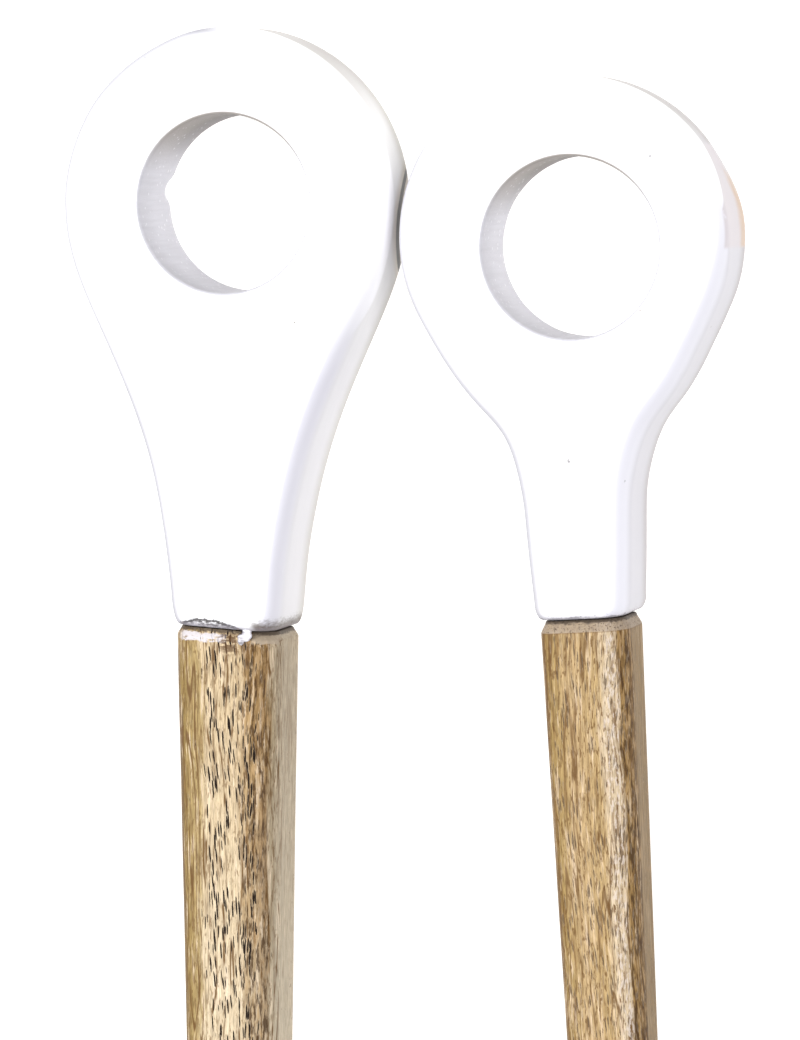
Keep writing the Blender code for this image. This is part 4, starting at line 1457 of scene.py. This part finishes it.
def make_bolt(material):
    """A pan-head bolt with a driver slot, from above the coil down to the nut."""
    radius = BOLT_RADIUS
    profile = [(0, 1.2), (radius - 0.4, 1.2), (radius, 1.6), (radius, 17.6), (6.0, 17.6)]
    profile += [(6.2, 17.9), (6.05, 18.7), (5.3, 19.35), (3.2, 19.65), (0, 19.7)]
    bm = lathe(rounded_profile(profile, 0.25), 96)
    bm.transform(standing(PIVOT))
    bolt = make_object("pivot_screw", bm)
    slot = bmesh.new()
    bmesh.ops.create_cube(slot, size=1.0)
    bmesh.ops.scale(slot, vec=(1.3, 20, 2.0), verts=slot.verts)
    turn = Matrix.Rotation(math.radians(35), 4, "Z")
    slot.transform(Matrix.Translation((PIVOT.x, PIVOT.y, 19.6)) @ turn)
    carve(bolt, [slot])
    finish_piece(bolt, material, BODY["a"], "pivot_bolt", 30)


def make_nut(material):
    """A chamfered hexagon nut under the arms."""
    turns = [math.tau * i / 6 for i in range(6)]
    rings = []
    for z, wide in ((1.7, 4.15), (1.95, 4.5), (2.2, 4.6), (4.2, 4.6), (4.45, 4.5), (4.7, 4.15)):
        corners = [(wide * math.cos(t), wide * math.sin(t)) for t in turns]
        rings.append([(PIVOT.x + x, PIVOT.y + y, z) for x, y in corners])
    nut = make_object("pivot_hex_nut", loft(rings))
    carve(nut, [cylinder(BOLT_RADIUS + NUT_PLAY, 0, 6, standing(PIVOT))])
    soften(nut, 0.12)
    finish_piece(nut, material, BODY["a"], "pivot_nut", 30)


def make_washer(node, material):
    low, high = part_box(node)
    outer = (high.x - low.x) / MM / 2
    inner = BOLT_RADIUS + GAP
    bottom, top = low.z / MM, high.z / MM
    edge = 0.1
    profile = [(inner, bottom + edge), (inner + edge, bottom), (outer - edge, bottom)]
    profile += [(outer, bottom + edge), (outer, top - edge), (outer - edge, top)]
    profile += [(inner + edge, top), (inner, top - edge)]
    bm = bmesh.new()
    rows = [circle(bm, radius, z, 96) for radius, z in profile]
    join_rows(bm, rows + rows[:1])
    bm.transform(standing(PIVOT))
    washer = make_object("steel_" + node, bm)
    finish_piece(washer, material, BODY["a"], node, 30)


def spring_points():
    """The wire's middle line: a leg, the coil about the bolt, and the other leg."""
    clear = PEG_RADIUS + WIRE + GAP
    base = Vector((PIVOT.x, PIVOT.y))
    heading = {}
    for letter, side in SIDE.items():
        peg = centre_of("spring_peg_" + letter).xy - base
        lean = math.asin((COIL_RADIUS - clear) / peg.length)
        heading[letter] = math.atan2(peg.y, peg.x) + side * lean
    first_turn = heading["a"] + math.pi / 2
    last_turn = heading["b"] - math.pi / 2
    while last_turn < first_turn + 3 * math.tau:
        last_turn += math.tau

    def leg(letter, turn, z, shares):
        away = toward(heading[letter])
        root = base + toward(turn) * COIL_RADIUS
        return [Vector((*(root + away * LEG_LONG * share), z)) for share in shares]

    shares = [1.0, 0.9, 0.75, 0.6, 0.45, 0.3, 0.2, 0.12, 0.06, 0.03]
    points = leg("a", first_turn, COIL_BOTTOM, shares)
    count = int((last_turn - first_turn) / math.tau * 72)
    for i in range(count + 1):
        turn = first_turn + (last_turn - first_turn) * i / count
        z = COIL_BOTTOM + COIL_PITCH * (turn - first_turn) / math.tau
        spot = base + toward(turn) * COIL_RADIUS
        points.append(Vector((*spot, z)))
    return points + leg("b", last_turn, points[-1].z, list(reversed(shares)))


def make_spring(material):
    """The closing spring: a coil about the bolt between the arms, with each leg aimed at its own
    peg.
    """
    spring = make_object("closing_spring", sweep(spring_points(), WIRE, 20))
    finish_piece(spring, material, None, "torsion_spring")
    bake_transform(spring)


# ---------------------------------------------------------------- stage, light and camera


FLOOR_HALF = 6000.0
FLOOR_DROP = 0.2
FLOOR_GLOW = 0.90
SKY = 0.22
SKY_TINT = (0.93, 0.92, 1.0)

# Two soft discs, placed in metres and measured in watts
LIGHT_TARGET = Vector((0, 0.05, 0))
LIGHTS = {
    "key": {"place": (-0.60, 0.30, 0.95), "size": 0.7, "power": 17.0},
    "fill": {"place": (0.80, 0.15, 0.95), "size": 0.8, "power": 12.0},
}


def make_floor(material):
    bm = bmesh.new()
    bmesh.ops.create_grid(bm, x_segments=2, y_segments=2, size=FLOOR_HALF)
    floor = make_object("floor", bm)
    floor.location.z = -FLOOR_DROP * MM
    floor.data.materials.append(material)


def soft_light(name, place, size, power):
    light = bpy.data.lights.new(name, "AREA")
    light.shape = "DISK"
    light.size = size
    light.energy = power
    lamp = bpy.data.objects.new(name, light)
    bpy.context.scene.collection.objects.link(lamp)
    lamp.location = place
    lamp.rotation_euler = (LIGHT_TARGET - Vector(place)).to_track_quat("-Z", "Y").to_euler()
    lamp.visible_camera = False


def make_world(strength, tint):
    world = bpy.data.worlds.new("studio")
    bpy.context.scene.world = world
    world.use_nodes = True
    background = world.node_tree.nodes["Background"]
    background.inputs["Color"].default_value = (*tint, 1.0)
    background.inputs["Strength"].default_value = strength


CAMERA_TARGET = Vector((-1.73, 87.39, 8.5))
CAMERA_AWAY = 750.0
CAMERA_YAW = math.radians(16.13)
CAMERA_PITCH = math.radians(4.17)
CAMERA_ROLL = math.radians(-1.79)
CAMERA_LENS = 160.7


def make_camera():
    """Looks down on the rings from a little to the right and above, with a long lens."""
    flat = math.cos(CAMERA_PITCH)
    sideways, upright = math.sin(CAMERA_YAW) * flat, math.cos(CAMERA_YAW) * flat
    back = Vector((sideways, math.sin(CAMERA_PITCH), upright))
    right = Vector((0, 1, 0)).cross(back).normalized()
    up = back.cross(right)
    turned_right = right * math.cos(CAMERA_ROLL) + up * math.sin(CAMERA_ROLL)
    turned_up = up * math.cos(CAMERA_ROLL) - right * math.sin(CAMERA_ROLL)
    lens = bpy.data.cameras.new("camera")
    lens.lens = CAMERA_LENS
    lens.sensor_width = 36.0
    lens.clip_start = 0.05
    lens.clip_end = 30.0
    camera = bpy.data.objects.new("camera", lens)
    bpy.context.scene.collection.objects.link(camera)
    axes = Matrix((turned_right, turned_up, back)).transposed().to_4x4()
    place = (CAMERA_TARGET + back * CAMERA_AWAY) * MM
    camera.matrix_world = Matrix.Translation(place) @ axes
    bpy.context.scene.camera = camera


brushed = steel("brushed_steel", (0.46, 0.46, 0.455), 0.40, 14.0)
small_steel = steel("turned_steel", (0.50, 0.50, 0.49), 0.30, 1.2)
jaw_steel = steel("jaw_steel", (0.48, 0.48, 0.475), 0.36, 10.0, turn=0.15)
wire_steel = steel("spring_wire", (0.36, 0.36, 0.36), 0.26, 2.0)

for letter in BODY:
    make_ring(letter, white_lacquer(letter))
    make_handle(letter, mango_wood(letter))
    make_pin(letter, small_steel)
    make_collar(letter, brushed)
    make_bar(letter, brushed)
    make_peg(letter, small_steel)
    make_jaw(letter, jaw_steel)
    for number in (1, 2):
        make_rivet(letter, number, small_steel)
make_bolt(small_steel)
make_nut(small_steel)
for node in ("washer_top", "washer_middle", "washer_bottom"):
    make_washer(node, small_steel)
make_spring(wire_steel)
dowel = dowel_wood()
for letter in BODY:
    slots = frame["nodes"]["dowel_" + letter].material_slots
    slots[0].material = dowel

make_floor(floor_paper())
make_world(SKY, SKY_TINT)
for name, lamp in LIGHTS.items():
    soft_light(name, **lamp)
make_camera()
bpy.context.scene.view_settings.view_transform = "Standard"
